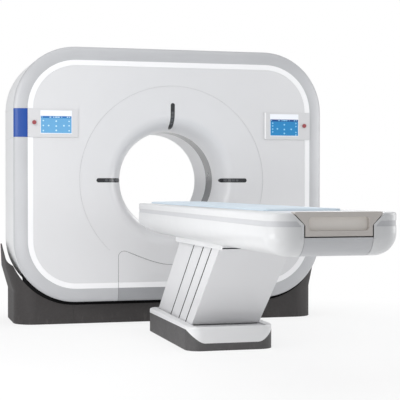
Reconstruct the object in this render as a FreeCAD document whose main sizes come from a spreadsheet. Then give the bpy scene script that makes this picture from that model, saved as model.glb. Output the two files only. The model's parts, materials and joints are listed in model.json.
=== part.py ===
import FreeCAD, Part
import math
import os

import Sketcher
from FreeCAD import Vector

os.makedirs("parts", exist_ok=True)
doc = FreeCAD.newDocument("ct_scanner")
sheet = doc.addObject("Spreadsheet::Sheet", "Sizes")

# Millimetres and degrees. X runs across the gantry, Y along the bore away from the table,
# Z up from the floor. The scan plane is Y = 0 and the bore's axis is X = 0.
SIZES = [
    # the gantry's outline and covers
    ("iso_height", 1035),
    ("face_to_scan", 320),
    ("ring_half_width", 1055),
    ("ring_low", 260),
    ("ring_high", 1893),
    ("ring_corner", 350),
    ("ring_width", 38),
    ("ring_depth", 18),
    ("bezel_width", 97),
    ("bezel_depth", 35),
    ("cover_depth", 560),
    ("rear_depth", 295),
    ("rear_taper", 115),
    ("cover_wall", 5),
    ("seam", 0.9),
    # the bore
    ("bore_radius", 360),
    ("mouth_radius", 485),
    ("mouth_depth", 234),
    ("dish_radius", 686),
    ("dish_depth", 10),
    ("dish_step", 1.5),
    ("rear_mouth_radius", 470),
    ("rear_mouth_depth", 171),
    ("window_width", 179),
    ("liner_wall", 4),
    # the marking-laser slots
    ("slot_outer", 564),
    ("slot_inner", 376),
    ("slot_width", 31),
    # the lower access panel
    ("access_half_width", 405),
    ("access_shoulder", 525),
    ("access_dip", 420),
    ("access_corner", 42),
    # control panels, screens, stop buttons and the blue plate
    ("panel_inner", 698),
    ("panel_low", 1340),
    ("panel_high", 1543),
    ("panel_proud", 6),
    ("panel_thick", 18),
    ("screen_inner", 742),
    ("screen_width", 224),
    ("screen_low", 1365),
    ("screen_high", 1530),
    ("screen_thick", 5),
    ("stop_gap", 44),
    ("stop_z", 1444),
    ("stop_radius", 14.7),
    ("stop_collar", 21),
    ("stop_proud", 9),
    ("stop_stem", 7),
    ("plate_proud", 1),
    # the dark floor base
    ("base_front", 100),
    ("base_back", 780),
    ("base_overhang", 132),
    ("base_corner", 150),
    ("wing_flare", 60),
    ("wing_rise", 8),
    ("wing_corner", 200),
    ("wing_start", 230),
    ("wing_full", 400),
    ("wing_top", 560),
    ("wing_front_top", 385),
    ("base_gap", 28),
    ("base_wall", 6),
    ("base_seam_x", 715),
    ("frame_height", 120),
    ("frame_rail", 100),
    ("frame_stator_ledge", 60),
    ("frame_half_length", 1000),
    ("bracket_inner_x", 360),
    ("bracket_outer_x", 850),
    ("bracket_width", 60),
    ("anchor_x", 1500),
    ("anchor_y", 300),
    ("anchor_hole", 9),
    # the stator and the bearing
    ("stator_front", 200),
    ("stator_thick", 40),
    ("stator_inset", 40),
    ("stator_hole", 560),
    ("stator_foot", 380),
    ("bearing_radius", 498),
    ("bearing_bore", 430),
    ("run_gap", 0.4),
    # the rotor
    ("drum_radius", 780),
    ("drum_front", 120),
    ("drum_thick", 40),
    ("rim_depth", 60),
    ("rim_wall", 20),
    ("relief_radius", 45),
    ("relief_circle", 700),
    ("tube_circle", 620),
    ("tube_radius", 105),
    ("tube_length", 290),
    ("collimator_height", 85),
    ("collimator_width", 220),
    ("collimator_length", 120),
    ("focus_radius", 570),
    ("detector_reach", 1040),
    ("detector_thick", 60),
    ("detector_length", 150),
    ("fan_angle", 26),
    ("module_circle", 620),
    ("module_width", 230),
    ("module_height", 210),
    ("cooler_length", 240),
    ("generator_length", 260),
    ("power_unit_length", 220),
    ("slip_front", 250),
    ("slip_thick", 34),
    ("slip_radius", 620),
    # the rotor's belt drive
    ("pulley_x", 720),
    ("pulley_drop", 600),
    ("pulley_radius", 60),
    ("belt_width", 36),
    ("belt_thick", 4),
    ("motor_radius", 95),
    ("motor_length", 180),
    ("shaft_radius", 16),
    # the table's floor base
    ("plinth_front", 1502),
    ("plinth_back", 372),
    ("plinth_half_width", 275),
    ("plinth_corner", 90),
    ("plinth_height", 147),
    ("plinth_rise", 10),
    ("plinth_rim_round", 12),
    ("plinth_rim_depth", 11),
    ("plinth_wall", 5),
    ("plinth_split", 127),
    ("plinth_front_split", 46),
    ("plinth_bowl_half", 168),
    ("plinth_middle", 900),
    ("plinth_opening_half", 222),
    ("plinth_front_rim", 7),
    ("table_anchor_x", 400),
    ("table_anchor_y", 960),
    ("foot_plate", 20),
    # the parallel arms and their sliding covers
    ("pivot_height", 115),
    ("arm_length", 858),
    ("arm_angle", 39),
    ("arm_pivot_front", 1248),
    ("arm_pivot_second", 1111),
    ("arm_pivot_third", 905),
    ("arm_pivot_rear", 690),
    ("arm_offset", 112),
    ("arm_thick", 24),
    ("arm_width", 52),
    ("pivot_radius", 18),
    ("pin_radius", 8),
    ("ram_length", 300),
    ("ram_stem", 120),
    ("cheek_inner", 160),
    ("cheek_thick", 12),
    ("cover_half_width", 215),
    ("cover_step", 6),
    ("cover_sheet", 3),
    ("cover_top", 690),
    ("cover_bottom", 100),
    ("cover_front_1", 46),
    ("cover_rear_1", 47),
    ("cover_front_2", 70),
    ("cover_rear_2", 85),
    ("cover_front_3", 80),
    ("cover_rear_3", 106),
    ("cover_front_4", 65),
    ("cover_rear_4", 218),
    ("cover_web_top", 640),
    ("apron_height", 141),
    ("apron_reach", 210),
    # the table top
    ("table_start", 128),
    ("table_end", 3230),
    ("table_half_width", 289),
    ("table_foot_half_width", 334),
    ("table_under", 666),
    ("table_under_start", 735),
    ("table_rise", 620),
    ("table_strip_low", 808),
    ("table_strip_high", 834),
    ("table_top", 872),
    ("table_corner", 128),
    ("table_bottom_round", 109),
    ("table_rim_round", 12),
    ("table_gantry_corner", 40),
    ("table_wall", 5),
    ("trim_inset", 3),
    ("end_cover_half", 172),
    ("end_cover_seam", 3),
    ("opening_front", 135),
    ("opening_back", 20),
    ("collar_wall", 8),
    ("collar_low", 640),
    ("collar_front_low", 652),
    ("collar_back", 1010),
    # the sliding cradle
    ("channel_floor", 757),
    ("cradle_keel", 165),
    ("cradle_keel_top", 818),
    ("cradle_half_width", 222),
    ("cradle_top", 872),
    ("cradle_gap", 8),
    ("runner_height", 5),
    ("cradle_wall", 8),
    ("drive_setback", 620),
    ("channel_lip", 14),
    ("channel_lip_depth", 25),
    ("handle_thick", 55),
    ("handle_top", 877),
    ("handle_corner", 6),
    ("grip_half_width", 150),
    ("grip_low", 789),
    ("grip_high", 853),
    ("grip_corner", 16),
    ("pad_half_width", 205),
    ("pad_thick", 14),
    ("pad_start", 25),
    ("pad_gap", 3),
    ("pad_sink", 1.5),
    ("pad_length", 2617),
]


class Term:
    """A size as a number, together with the sheet formula that gives it."""

    def __init__(self, value, text):
        self.value = value
        self.text = text

    def __add__(self, other):
        other = term(other)
        return Term(self.value + other.value, f"({self.text} + {other.text})")

    def __sub__(self, other):
        other = term(other)
        return Term(self.value - other.value, f"({self.text} - {other.text})")

    def __mul__(self, other):
        other = term(other)
        return Term(self.value * other.value, f"({self.text} * {other.text})")

    def __truediv__(self, other):
        other = term(other)
        return Term(self.value / other.value, f"({self.text} / {other.text})")

    def __neg__(self):
        return Term(-self.value, f"(0 - {self.text})")

    def __radd__(self, other):
        return term(other) + self

    def __rsub__(self, other):
        return term(other) - self

    def __rmul__(self, other):
        return term(other) * self


def term(x):
    return x if isinstance(x, Term) else Term(float(x), f"({float(x)})")


def fill_sheet():
    for row, (alias, value) in enumerate(SIZES, start=1):
        sheet.set(f"A{row}", alias.replace("_", " "))
        sheet.set(f"B{row}", str(value))
        sheet.setAlias(f"B{row}", alias)
    doc.recompute()


fill_sheet()
SIZE = {alias: Term(float(sheet.get(alias)), f"Sizes.{alias}") for alias, _ in SIZES}


def mm(alias):
    return SIZE[alias].value


# ---- parametric building blocks -------------------------------------------------------------

AXIS_TURN = {
    "X": FreeCAD.Rotation(Vector(0, 1, 0), 90),
    "Y": FreeCAD.Rotation(Vector(1, 0, 0), -90),
    "Z": FreeCAD.Rotation(),
}
PLANE_ROLE = {"X": "YZ_Plane", "Y": "XZ_Plane", "Z": "XY_Plane"}


def bind(thing, prop, value):
    thing.setExpression(prop, term(value).text)


def place(thing, x, y, z):
    bind(thing, "Placement.Base.x", x)
    bind(thing, "Placement.Base.y", y)
    bind(thing, "Placement.Base.z", z)


def block(name, low, high):
    """A box between two corners."""
    box = doc.addObject("Part::Box", name)
    for prop, a, b in zip(("Length", "Width", "Height"), low, high):
        bind(box, prop, term(b) - term(a))
    place(box, *low)
    return box


def rod(name, axis, start, radius, length):
    """A cylinder along one axis, from its start point."""
    cylinder = doc.addObject("Part::Cylinder", name)
    cylinder.Placement = FreeCAD.Placement(Vector(), AXIS_TURN[axis])
    bind(cylinder, "Radius", radius)
    bind(cylinder, "Height", length)
    place(cylinder, *start)
    return cylinder


def fuse(name, *things):
    union = doc.addObject("Part::MultiFuse", name)
    union.Shapes = list(things)
    return union


def cut(name, base, *tools):
    difference = doc.addObject("Part::Cut", name)
    difference.Base = base
    difference.Tool = tools[0] if len(tools) == 1 else fuse(name + "_tools", *tools)
    return difference


def solid(name, shape):
    """A sub-part whose surface is made directly from curves."""
    feature = doc.addObject("Part::Feature", name)
    feature.Shape = shape
    return feature


def sketch_on(body, axis, offset):
    """An empty sketch on the body's own plane across an axis."""
    plane = next(f for f in body.Origin.OriginFeatures if f.Role == PLANE_ROLE[axis])
    sketch = body.newObject("Sketcher::SketchObject", body.Name + "_sketch")
    sketch.AttachmentSupport = (plane, [""])
    sketch.MapMode = "FlatFace"
    bind(sketch, "AttachmentOffset.Base.z", offset)
    return sketch


def draw_polygon(sketch, corners):
    """Straight lines through the corners, each held at its two coordinates."""
    corners = [(term(u), term(v)) for u, v in corners]
    first = sketch.GeometryCount
    count = len(corners)
    for index, (u, v) in enumerate(corners):
        w, t = corners[(index + 1) % count]
        line = Part.LineSegment(Vector(u.value, v.value, 0), Vector(w.value, t.value, 0))
        sketch.addGeometry(line, False)
    for index in range(count):
        follower = first + (index + 1) % count
        sketch.addConstraint(Sketcher.Constraint("Coincident", first + index, 2, follower, 1))
    for index, pair in enumerate(corners):
        for kind, coordinate in zip(("DistanceX", "DistanceY"), pair):
            number = sketch.addConstraint(
                Sketcher.Constraint(kind, -1, 1, first + index, 1, coordinate.value)
            )
            bind(sketch, f"Constraints[{number}]", coordinate)


def draw_circle(sketch, centre, radius):
    u, v, radius = term(centre[0]), term(centre[1]), term(radius)
    circle = Part.Circle(Vector(u.value, v.value, 0), Vector(0, 0, 1), radius.value)
    geometry = sketch.addGeometry(circle, False)
    for kind, coordinate in (("DistanceX", u), ("DistanceY", v)):
        number = sketch.addConstraint(
            Sketcher.Constraint(kind, -1, 1, geometry, 3, coordinate.value)
        )
        bind(sketch, f"Constraints[{number}]", coordinate)
    number = sketch.addConstraint(Sketcher.Constraint("Radius", geometry, radius.value))
    bind(sketch, f"Constraints[{number}]", radius)


def padded(name, axis, start, end, corners, holes=()):
    """A prism along an axis: its outline in the plane across it, with round holes."""
    body = doc.addObject("PartDesign::Body", name)
    start, end = term(start), term(end)
    sketch = sketch_on(body, axis, -end if axis == "Y" else start)
    draw_polygon(sketch, corners)
    for centre, radius in holes:
        draw_circle(sketch, centre, radius)
    pad = body.newObject("PartDesign::Pad", name + "_pad")
    pad.Profile = sketch
    bind(pad, "Length", end - start)
    body.Tip = pad
    sketch.Visibility = False
    return body


def turned(name, corners):
    """A ring round the bore's axis, from its half section of radius and Y."""
    body = doc.addObject("PartDesign::Body", name)
    sketch = sketch_on(body, "Z", 0)
    draw_polygon(sketch, corners)
    revolution = body.newObject("PartDesign::Revolution", name + "_turn")
    revolution.Profile = sketch
    revolution.ReferenceAxis = (sketch, ["V_Axis"])
    revolution.Angle = 360
    body.Tip = revolution
    bind(body, "Placement.Base.z", SIZE["iso_height"])
    return body


def both_sides(name, make):
    """The left and right copies of a piece, from a function of its X range."""
    return [make(f"{name}_right", lambda a, b: (a, b)), make(f"{name}_left", lambda a, b: (-b, -a))]


# ---- the gantry's outline, as plain curves -----------------------------------------------------

FACE = -mm("face_to_scan")
BEZEL_BACK = FACE + mm("bezel_depth")
COVER_BACK = BEZEL_BACK + mm("cover_depth")
REAR_FACE = COVER_BACK + mm("rear_depth")
ISO = Vector(0, 0, mm("iso_height"))


def rounded_wire(low, high, radius, to_space):
    """A rectangle with round corners, placed in space by a function of its two coordinates."""
    centres = [
        (high[0] - radius, high[1] - radius, 0),
        (low[0] + radius, high[1] - radius, 90),
        (low[0] + radius, low[1] + radius, 180),
        (high[0] - radius, low[1] + radius, 270),
    ]
    arcs = []
    for u, v, start in centres:
        angles = [math.radians(start + turn) for turn in (0, 45, 90)]
        arcs.append([to_space(u + radius * math.cos(a), v + radius * math.sin(a)) for a in angles])
    edges = []
    for index, arc in enumerate(arcs):
        edges.append(Part.Arc(*arc).toShape())
        edges.append(Part.makeLine(arc[2], arcs[(index + 1) % 4][0]))
    return Part.Wire(edges)


def gantry_wire(offset, y):
    """The gantry's outline, moved out by offset from the light ring's outer line."""
    half = mm("ring_half_width") + offset
    low = mm("ring_low") - offset
    high = mm("ring_high") + offset
    radius = mm("ring_corner") + offset
    return rounded_wire((-half, low), (half, high), radius, lambda u, v: Vector(u, y, v))


def gantry_prism(offset, start, end):
    return Part.Face(gantry_wire(offset, start)).extrude(Vector(0, end - start, 0))


def gantry_frame(outer, inner, start, end):
    return gantry_prism(outer, start, end).cut(gantry_prism(inner, start, end))


def slab(low, high):
    """A plain box, used to trim and split covers."""
    return Part.makeBox(*(b - a for a, b in zip(low, high)), Vector(*low))


def bore_tool(radius, start, end):
    return Part.makeCylinder(radius, end - start, ISO + Vector(0, start, 0), Vector(0, 1, 0))


def mouth_shell(thick, back):
    """The dished face and the bell mouth: a wall turned about the bore's axis."""
    outer, mouth, bore = mm("dish_radius"), mm("mouth_radius"), mm("bore_radius")
    dish, depth = FACE + mm("dish_depth"), FACE + mm("mouth_depth")
    centre = Vector(mouth, depth, 0) + ISO
    front, rear = back, back + thick

    def bell(inset):
        crown = centre - Vector(0, depth - dish - inset, 0)
        side = centre - Vector(mouth - bore - inset, 0, 0)
        curve = Part.Ellipse(crown, side, centre)
        return Part.ArcOfEllipse(curve, 0, math.pi / 2).toShape()

    visible, hidden = bell(front), bell(rear)
    step = mm("dish_step")
    rim = [Vector(outer, FACE + step + inset, 0) + ISO for inset in (front, rear)]
    crowns = [Vector(mouth, dish + inset, 0) + ISO for inset in (front, rear)]
    throats = [Vector(bore + inset, depth, 0) + ISO for inset in (front, rear)]
    edges = [
        Part.makeLine(rim[0], crowns[0]),
        visible,
        Part.makeLine(throats[0], throats[1]),
        hidden,
        Part.makeLine(crowns[1], rim[1]),
        Part.makeLine(rim[1], rim[0]),
    ]
    section = Part.Face(Part.Wire(Part.__sortEdges__(edges)))
    return section.revolve(ISO, Vector(0, 1, 0), 360)


def slot_prisms(clearance):
    """The three marking-laser slots: left, right and top, as prisms along Y."""
    half = mm("slot_width") / 2 - clearance
    inner, outer = mm("slot_inner") + half, mm("slot_outer") - mm("slot_width") / 2
    start, end = FACE - 20, FACE + mm("mouth_depth") - 60
    prisms = []
    for angle in (0, 90, 180):
        wire = rounded_wire(
            (inner - half, -half),
            (outer + half, half),
            half * 0.999,
            lambda u, v: Vector(u, start, v),
        )
        prism = Part.Face(wire).extrude(Vector(0, end - start, 0))
        prism.rotate(Vector(), Vector(0, 1, 0), -angle)
        prism.translate(ISO)
        prisms.append(prism)
    return prisms


def access_prism(growth, start, end):
    """The lower panel's outline: straight sides, round shoulders and a dipped top edge."""
    half = mm("access_half_width") + growth
    shoulder = mm("access_shoulder") + growth
    dip = mm("access_dip") + growth
    corner = mm("access_corner") + growth
    low = mm("ring_low") - mm("bezel_width") - 50
    slope = math.radians(24)
    turn = math.pi / 2 - slope
    edges = []
    ends = []
    for side in (-1, 1):
        centre = Vector(side * (half - corner), start, shoulder - corner)
        points = [
            centre + Vector(side * corner * math.cos(a), 0, corner * math.sin(a))
            for a in (0, (math.pi / 2 + slope) / 2, turn + 2 * slope)
        ]
        edges.append(Part.makeLine(Vector(side * half, start, low), points[0]))
        edges.append(Part.Arc(*points).toShape())
        ends.append(points[2])
    sag = Part.BSplineCurve()
    sag.interpolate(
        [ends[0], Vector(0, start, dip), ends[1]],
        Tangents=[
            Vector(math.cos(slope), 0, -math.sin(slope)) * 400,
            Vector(500, 0, 0),
            Vector(math.cos(slope), 0, math.sin(slope)) * 400,
        ],
        TangentFlags=[True, True, True],
    )
    edges.append(sag.toShape())
    edges.append(Part.makeLine(Vector(half, start, low), Vector(-half, start, low)))
    return Part.Face(Part.Wire(Part.__sortEdges__(edges))).extrude(Vector(0, end - start, 0))


def panel_slab(side, growth, start, end):
    """The place of one control panel, from its inner edge out past the light ring."""
    inner, outer = mm("panel_inner") - growth, mm("ring_half_width") + growth
    low = (min(side * inner, side * outer), start, mm("panel_low") - growth)
    high = (max(side * inner, side * outer), end, mm("panel_high") + growth)
    return slab(low, high)


# ---- gantry covers ---------------------------------------------------------------------------------

def front_face():
    """The whole white face with its bell mouth, before the lower panel is parted from it."""
    wall, seam = mm("cover_wall"), mm("seam")
    edge = -mm("ring_width") - seam / 2
    face = gantry_prism(edge, FACE, FACE + wall)
    face = face.cut(bore_tool(mm("dish_radius"), FACE - 1, FACE + wall + 1))
    face = face.fuse(gantry_frame(edge, edge - wall, FACE, BEZEL_BACK))
    face = face.fuse(mouth_shell(wall, 0))
    for side in (-1, 1):
        face = face.cut(panel_slab(side, seam / 2, FACE - 20, BEZEL_BACK + 20))
    return face.cut(Part.makeCompound(slot_prisms(0)))


def front_cover_shape():
    panel = access_prism(mm("seam") / 2, FACE - 20, BEZEL_BACK + 20)
    return front_face().cut(panel)


def access_panel_shape():
    return front_face().common(access_prism(-mm("seam") / 2, FACE - 20, BEZEL_BACK + 20))


def middle_gap(shape):
    """Parts a frame along the access panel's two straight seams."""
    half, seam = mm("access_half_width"), mm("seam") / 2
    for side in (-1, 1):
        low = (side * half - seam, FACE - 50, 0)
        high = (side * half + seam, REAR_FACE, mm("access_dip"))
        shape = shape.cut(slab(low, high))
    return shape


def light_ring_shape():
    """The white light ring, in an upper and a lower length, broken at the control panels."""
    ring = gantry_frame(0, -mm("ring_width"), FACE - 1, FACE + mm("ring_depth"))
    for side in (-1, 1):
        ring = ring.cut(panel_slab(side, mm("seam") / 2, FACE - 20, BEZEL_BACK + 20))
    return middle_gap(ring)


def bezel_solid(proud):
    """The silver band: it falls back from the light ring to the side covers in a round."""
    width, depth = mm("bezel_width"), mm("bezel_depth")
    steps = [math.radians(a) for a in (0, 22.5, 45, 67.5, 90)]
    wires = [
        gantry_wire(width * math.sin(a), FACE - proud + depth * (1 - math.cos(a)))
        for a in steps
    ]
    band = Part.makeLoft(wires, True, False)
    return band.cut(gantry_prism(mm("seam") / 2, FACE - 20, BEZEL_BACK + 20))


def plate_slab():
    """The height of the blue plate on the left of the silver band."""
    outer = mm("ring_half_width") + mm("bezel_width") + 10
    low = (-outer, FACE - 20, mm("panel_low"))
    return slab(low, (-mm("ring_half_width") + 1, BEZEL_BACK + 20, mm("panel_high")))


def lower_slab():
    half = mm("access_half_width")
    return slab((-half, FACE - 20, 0), (half, BEZEL_BACK + 20, mm("access_dip")))


def front_bezel_shape():
    return middle_gap(bezel_solid(0).cut(plate_slab())).cut(lower_slab())


def lower_bezel_shape():
    return middle_gap(bezel_solid(0)).common(lower_slab())


def blue_plate_shape():
    inset = mm("seam") / 2
    plate = bezel_solid(mm("plate_proud")).common(plate_slab())
    low = (-FAR, FACE - 50, mm("panel_low") + inset)
    return plate.common(slab(low, (0, BEZEL_BACK, mm("panel_high") - inset)))


def side_wrap(low, high, x_low, x_high):
    """A stretch of the wall that wraps the gantry's sides and top."""
    width, wall, seam = mm("bezel_width"), mm("cover_wall"), mm("seam")
    wrap = gantry_frame(width, width - wall, BEZEL_BACK + seam / 2, COVER_BACK - seam / 2)
    return wrap.common(slab((x_low, BEZEL_BACK, low), (x_high, COVER_BACK, high)))


FAR = 3000


def top_cover_shape():
    return side_wrap(mm("panel_high") + mm("seam") / 2, FAR, -FAR, FAR)


def side_strips_shape():
    inset = mm("seam") / 2
    return side_wrap(mm("panel_low") + inset, mm("panel_high") - inset, -FAR, FAR)


def side_cover_shape(side):
    edge = mm("access_half_width")
    x_low, x_high = (-FAR, -edge) if side < 0 else (edge, FAR)
    return side_wrap(0, mm("panel_low") - mm("seam") / 2, x_low, x_high)


def rear_mouth(thick):
    """The rear flare of the bore, turned about its axis."""
    bore, mouth = mm("bore_radius"), mm("rear_mouth_radius")
    start = REAR_FACE - mm("rear_mouth_depth")
    centre = Vector(mouth, start, 0) + ISO

    def bell(inset):
        crown = centre + Vector(0, REAR_FACE - start - inset, 0)
        side = centre - Vector(mouth - bore - inset, 0, 0)
        curve = Part.Ellipse(crown, side, centre)
        return Part.ArcOfEllipse(curve, 0, math.pi / 2).toShape()

    points = [Vector(mouth, REAR_FACE, 0), Vector(mouth, REAR_FACE - thick, 0)]
    points += [Vector(bore, start, 0), Vector(bore + thick, start, 0)]
    points = [p + ISO for p in points]
    edges = [bell(0), bell(thick), Part.makeLine(*points[:2]), Part.makeLine(*points[2:])]
    section = Part.Face(Part.Wire(Part.__sortEdges__(edges)))
    return section.revolve(ISO, Vector(0, 1, 0), 360)


def rear_cover_shape():
    """The rear cover, which draws in to the flat back face round the bore's flare."""
    width, wall, taper = mm("bezel_width"), mm("cover_wall"), mm("rear_taper")
    depth = mm("rear_depth")

    def hull(inset):
        steps = [math.radians(a) for a in (0, 30, 60, 90)]
        wires = [
            gantry_wire(
                width - inset - taper * (1 - math.cos(a)),
                COVER_BACK + (depth - inset) * math.sin(a),
            )
            for a in steps
        ]
        return Part.makeLoft(wires, True, True)

    cover = hull(0).cut(hull(wall))
    cover = cover.cut(bore_tool(mm("rear_mouth_radius"), REAR_FACE - 50, REAR_FACE + 10))
    return cover.fuse(rear_mouth(wall))


def laser_windows_shape():
    """Dark windows that sit in the three slots, a little behind the face."""
    wall = mm("cover_wall")
    glass = mouth_shell(wall - 1, 1)
    return Part.makeCompound([glass.common(prism) for prism in slot_prisms(0.3)])


def screen_edge():
    """How far the screens' outer edges lie from the middle."""
    return SIZE["screen_inner"] + SIZE["screen_width"]


def make_control_panel(word, side):
    """A raised plate with a pocket for the screen and a round collar for the stop button."""
    size = SIZE
    face = -size["face_to_scan"]
    front = face - size["panel_proud"]
    back = front + size["panel_thick"]
    name = "control_panel_" + word

    def span(a, b):
        return (a, b) if side > 0 else (-b, -a)

    x0, x1 = span(size["panel_inner"], size["ring_half_width"])
    plate = block(name + "_plate", (x0, front, size["panel_low"]), (x1, back, size["panel_high"]))
    x0, x1 = span(size["screen_inner"], screen_edge())
    pocket = block(
        name + "_pocket",
        (x0 - size["run_gap"], front - 5, size["screen_low"] - size["run_gap"]),
        (x1 + size["run_gap"], front + size["screen_thick"], size["screen_high"] + size["run_gap"]),
    )
    centre = (screen_edge() + size["stop_gap"]) * side
    collar = rod(
        name + "_collar", "Y", (centre, front - 3, size["stop_z"]), size["stop_collar"], 10
    )
    hole = rod(
        name + "_hole",
        "Y",
        (centre, front - 10, size["stop_z"]),
        size["stop_radius"] + size["run_gap"],
        size["panel_thick"] + 30,
    )
    return cut(name, fuse(name + "_body", plate, collar), pocket, hole)


def make_touch_screens():
    """The two like screens, a hair below the faces of their panels."""
    size = SIZE
    front = -size["face_to_scan"] - size["panel_proud"]

    def screen(name, span):
        x0, x1 = span(size["screen_inner"], screen_edge())
        low = (x0, front + 0.5, size["screen_low"])
        return block(name, low, (x1, front + size["screen_thick"], size["screen_high"]))

    return fuse("touch_screens", *both_sides("touch_screen", screen))


def make_stop_button(word, side):
    """A round button on a thinner stem, standing out of its collar."""
    size = SIZE
    name = "stop_button_" + word
    front = -size["face_to_scan"] - size["panel_proud"]
    centre = (screen_edge() + size["stop_gap"]) * side
    tip = front - size["stop_proud"]
    cap = rod(name + "_cap", "Y", (centre, tip, size["stop_z"]), size["stop_radius"], 16)
    stem = rod(
        name + "_stem", "Y", (centre, tip + 15, size["stop_z"]), size["stop_stem"], 12
    )
    return fuse(name, cap, stem)


# ---- the dark floor base -----------------------------------------------------------------------------

def base_hull(inset, top):
    """The floor base's outer form: upright at the floor, flared into wings at the sides."""
    front = FACE + mm("base_front") + inset
    back = FACE + mm("base_back") - inset
    foot = mm("frame_half_length") + mm("base_overhang")
    wing = foot + mm("wing_flare")
    levels = [
        (0, foot, mm("base_corner")),
        (mm("wing_start"), foot, mm("base_corner")),
        (mm("wing_full"), wing - mm("wing_rise"), mm("wing_corner")),
        (top, wing, mm("wing_corner")),
    ]
    wires = []
    for z, half, corner in levels:
        half -= inset
        to_space = lambda u, v, z=z: Vector(u, v, z)
        wires.append(rounded_wire((-half, front), (half, back), corner - inset, to_space))
    return Part.makeLoft(wires, True, True)


def base_shell():
    """The base covers before they are parted: walls that follow the gantry's round corners."""
    wall = mm("base_wall")
    top = mm("wing_top")
    shell = base_hull(0, top).cut(base_hull(wall, top))
    clear = mm("bezel_width") + mm("base_gap")
    shell = shell.cut(gantry_prism(clear, FACE - 50, REAR_FACE + 50))
    front = FACE + mm("base_front")
    back = FACE + mm("base_back")
    rise = Part.makePolygon(
        [
            Vector(-FAR, front, 0),
            Vector(-FAR, front, mm("wing_front_top")),
            Vector(-FAR, front + 430, top),
            Vector(-FAR, back, top),
            Vector(-FAR, back, 0),
            Vector(-FAR, front, 0),
        ]
    )
    return shell.common(Part.Face(rise).extrude(Vector(2 * FAR, 0, 0)))


def base_cover_shape(part):
    seam = mm("seam") / 2
    edge = mm("base_seam_x")
    spans = {
        "left": ((-FAR, -FAR), (-edge - seam, FAR)),
        "right": ((edge + seam, -FAR), (FAR, FAR)),
        "front": ((-edge + seam, -FAR), (edge - seam, 0)),
        "rear": ((-edge + seam, 0), (edge - seam, FAR)),
    }
    (x0, y0), (x1, y1) = spans[part]
    return base_shell().common(slab((x0, y0, 0), (x1, y1, FAR)))


def base_gasket_shape():
    """The black seal in the gap between the gantry's skin and the base."""
    width = mm("bezel_width")
    gap = mm("base_gap")
    start = FACE + mm("base_front") + mm("base_wall")
    seal = gantry_frame(width + gap, width + 0.5, start, start + 30)
    hull = base_hull(mm("base_wall") + 0.5, mm("wing_top"))
    return seal.common(hull).common(slab((-FAR, -FAR, 0), (FAR, FAR, mm("wing_front_top"))))


def make_base_frame():
    """Two welded rails across the gantry and two end ties, with the floor-anchor holes."""
    size = SIZE
    half = size["frame_half_length"]
    rail = size["frame_rail"] / 2
    reach = size["anchor_y"] / 2
    parts = []
    ledge = size["frame_stator_ledge"]
    for word, y, extra in (("front", -reach, 0), ("rear", reach, ledge)):
        low = (-half, y - rail, 0)
        high = (half, y + rail + extra, size["frame_height"])
        parts.append(block(f"base_rail_{word}", low, high))
    for word, x in (("left", -half), ("right", half - size["frame_rail"])):
        low = (x, -reach, 0)
        high = (x + size["frame_rail"], reach, size["frame_height"])
        parts.append(block(f"base_tie_{word}", low, high))
    front = size["base_front"] - size["face_to_scan"] + size["base_wall"] + 0.3
    back = size["base_back"] - size["face_to_scan"] - size["base_wall"] - 0.3
    for alias in ("bracket_inner_x", "bracket_outer_x"):

        def bracket(name, span):
            x0, x1 = span(size[alias], size[alias] + size["bracket_width"])
            ends = ((front, 1 - reach - rail), (reach + rail + ledge - 1, back))
            return fuse(name, *(
                block(name + word, (x0, start, 0), (x1, end, size["bracket_width"]))
                for word, (start, end) in zip(("_front", "_rear"), ends)
            ))

        parts += both_sides(alias.replace("_x", ""), bracket)
    holes = []
    for number, (i, j) in enumerate(((-1, -1), (1, -1), (1, 1), (-1, 1))):
        start = (size["anchor_x"] / 2 * i, size["anchor_y"] / 2 * j, -10)
        holes.append(
            rod(f"base_anchor_{number}", "Z", start, size["anchor_hole"], size["frame_height"] + 20)
        )
    return cut("base_frame", fuse("base_frame_rails", *parts), *holes)


# ---- stator, bearing and rotor --------------------------------------------------------------------------

def stator_frame_shape():
    """The upright plate that holds the main bearing, on a foot that stands on the base frame."""
    start = mm("stator_front")
    end = start + mm("stator_thick")
    plate = gantry_prism(mm("bezel_width") - mm("cover_wall") - mm("stator_inset"), start, end)
    foot = mm("stator_foot")
    low = mm("ring_low")
    plate = plate.fuse(slab((-foot, start, mm("frame_height")), (foot, end, low + 40)))
    reach = gantry_prism(mm("bezel_width") - mm("cover_wall") - 0.3, start, end)
    inner, outer = mm("bracket_inner_x"), mm("bracket_inner_x") + mm("bracket_width")
    bands = [
        slab((-FAR, start, mm("panel_low") + 60), (FAR, end, mm("panel_low") + 140)),
        slab((-FAR, start, mm("iso_height") - 290), (FAR, end, mm("iso_height") - 210)),
        slab((-outer, start, mm("iso_height")), (-inner, end, FAR)),
        slab((inner, start, mm("iso_height")), (outer, end, FAR)),
    ]
    for band in bands:
        plate = plate.fuse(reach.common(band))
    plate = plate.cut(bore_tool(mm("stator_hole"), start - 1, end + 1))
    shaft = Part.makeCylinder(
        mm("shaft_radius") + 4,
        mm("stator_thick") + 2,
        Vector(mm("pulley_x"), start - 1, mm("iso_height") - mm("pulley_drop")),
        Vector(0, 1, 0),
    )
    return plate.cut(shaft)


def make_bearing_outer():
    size = SIZE
    inner = size["bearing_radius"] + size["run_gap"]
    front, back = size["stator_front"] - 20, size["stator_front"] + size["stator_thick"]
    flange = size["stator_hole"] + 25
    return turned(
        "bearing_outer_ring",
        [
            (inner, front),
            (flange, front),
            (flange, size["stator_front"]),
            (size["stator_hole"], size["stator_front"]),
            (size["stator_hole"], back),
            (inner, back),
        ],
    )


def make_bearing_inner():
    size = SIZE
    front = size["drum_front"] + size["drum_thick"]
    return turned(
        "bearing_inner_ring",
        [
            (size["bearing_bore"], front),
            (size["bearing_radius"], front),
            (size["bearing_radius"], size["slip_front"]),
            (size["bearing_bore"], size["slip_front"]),
        ],
    )


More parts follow.
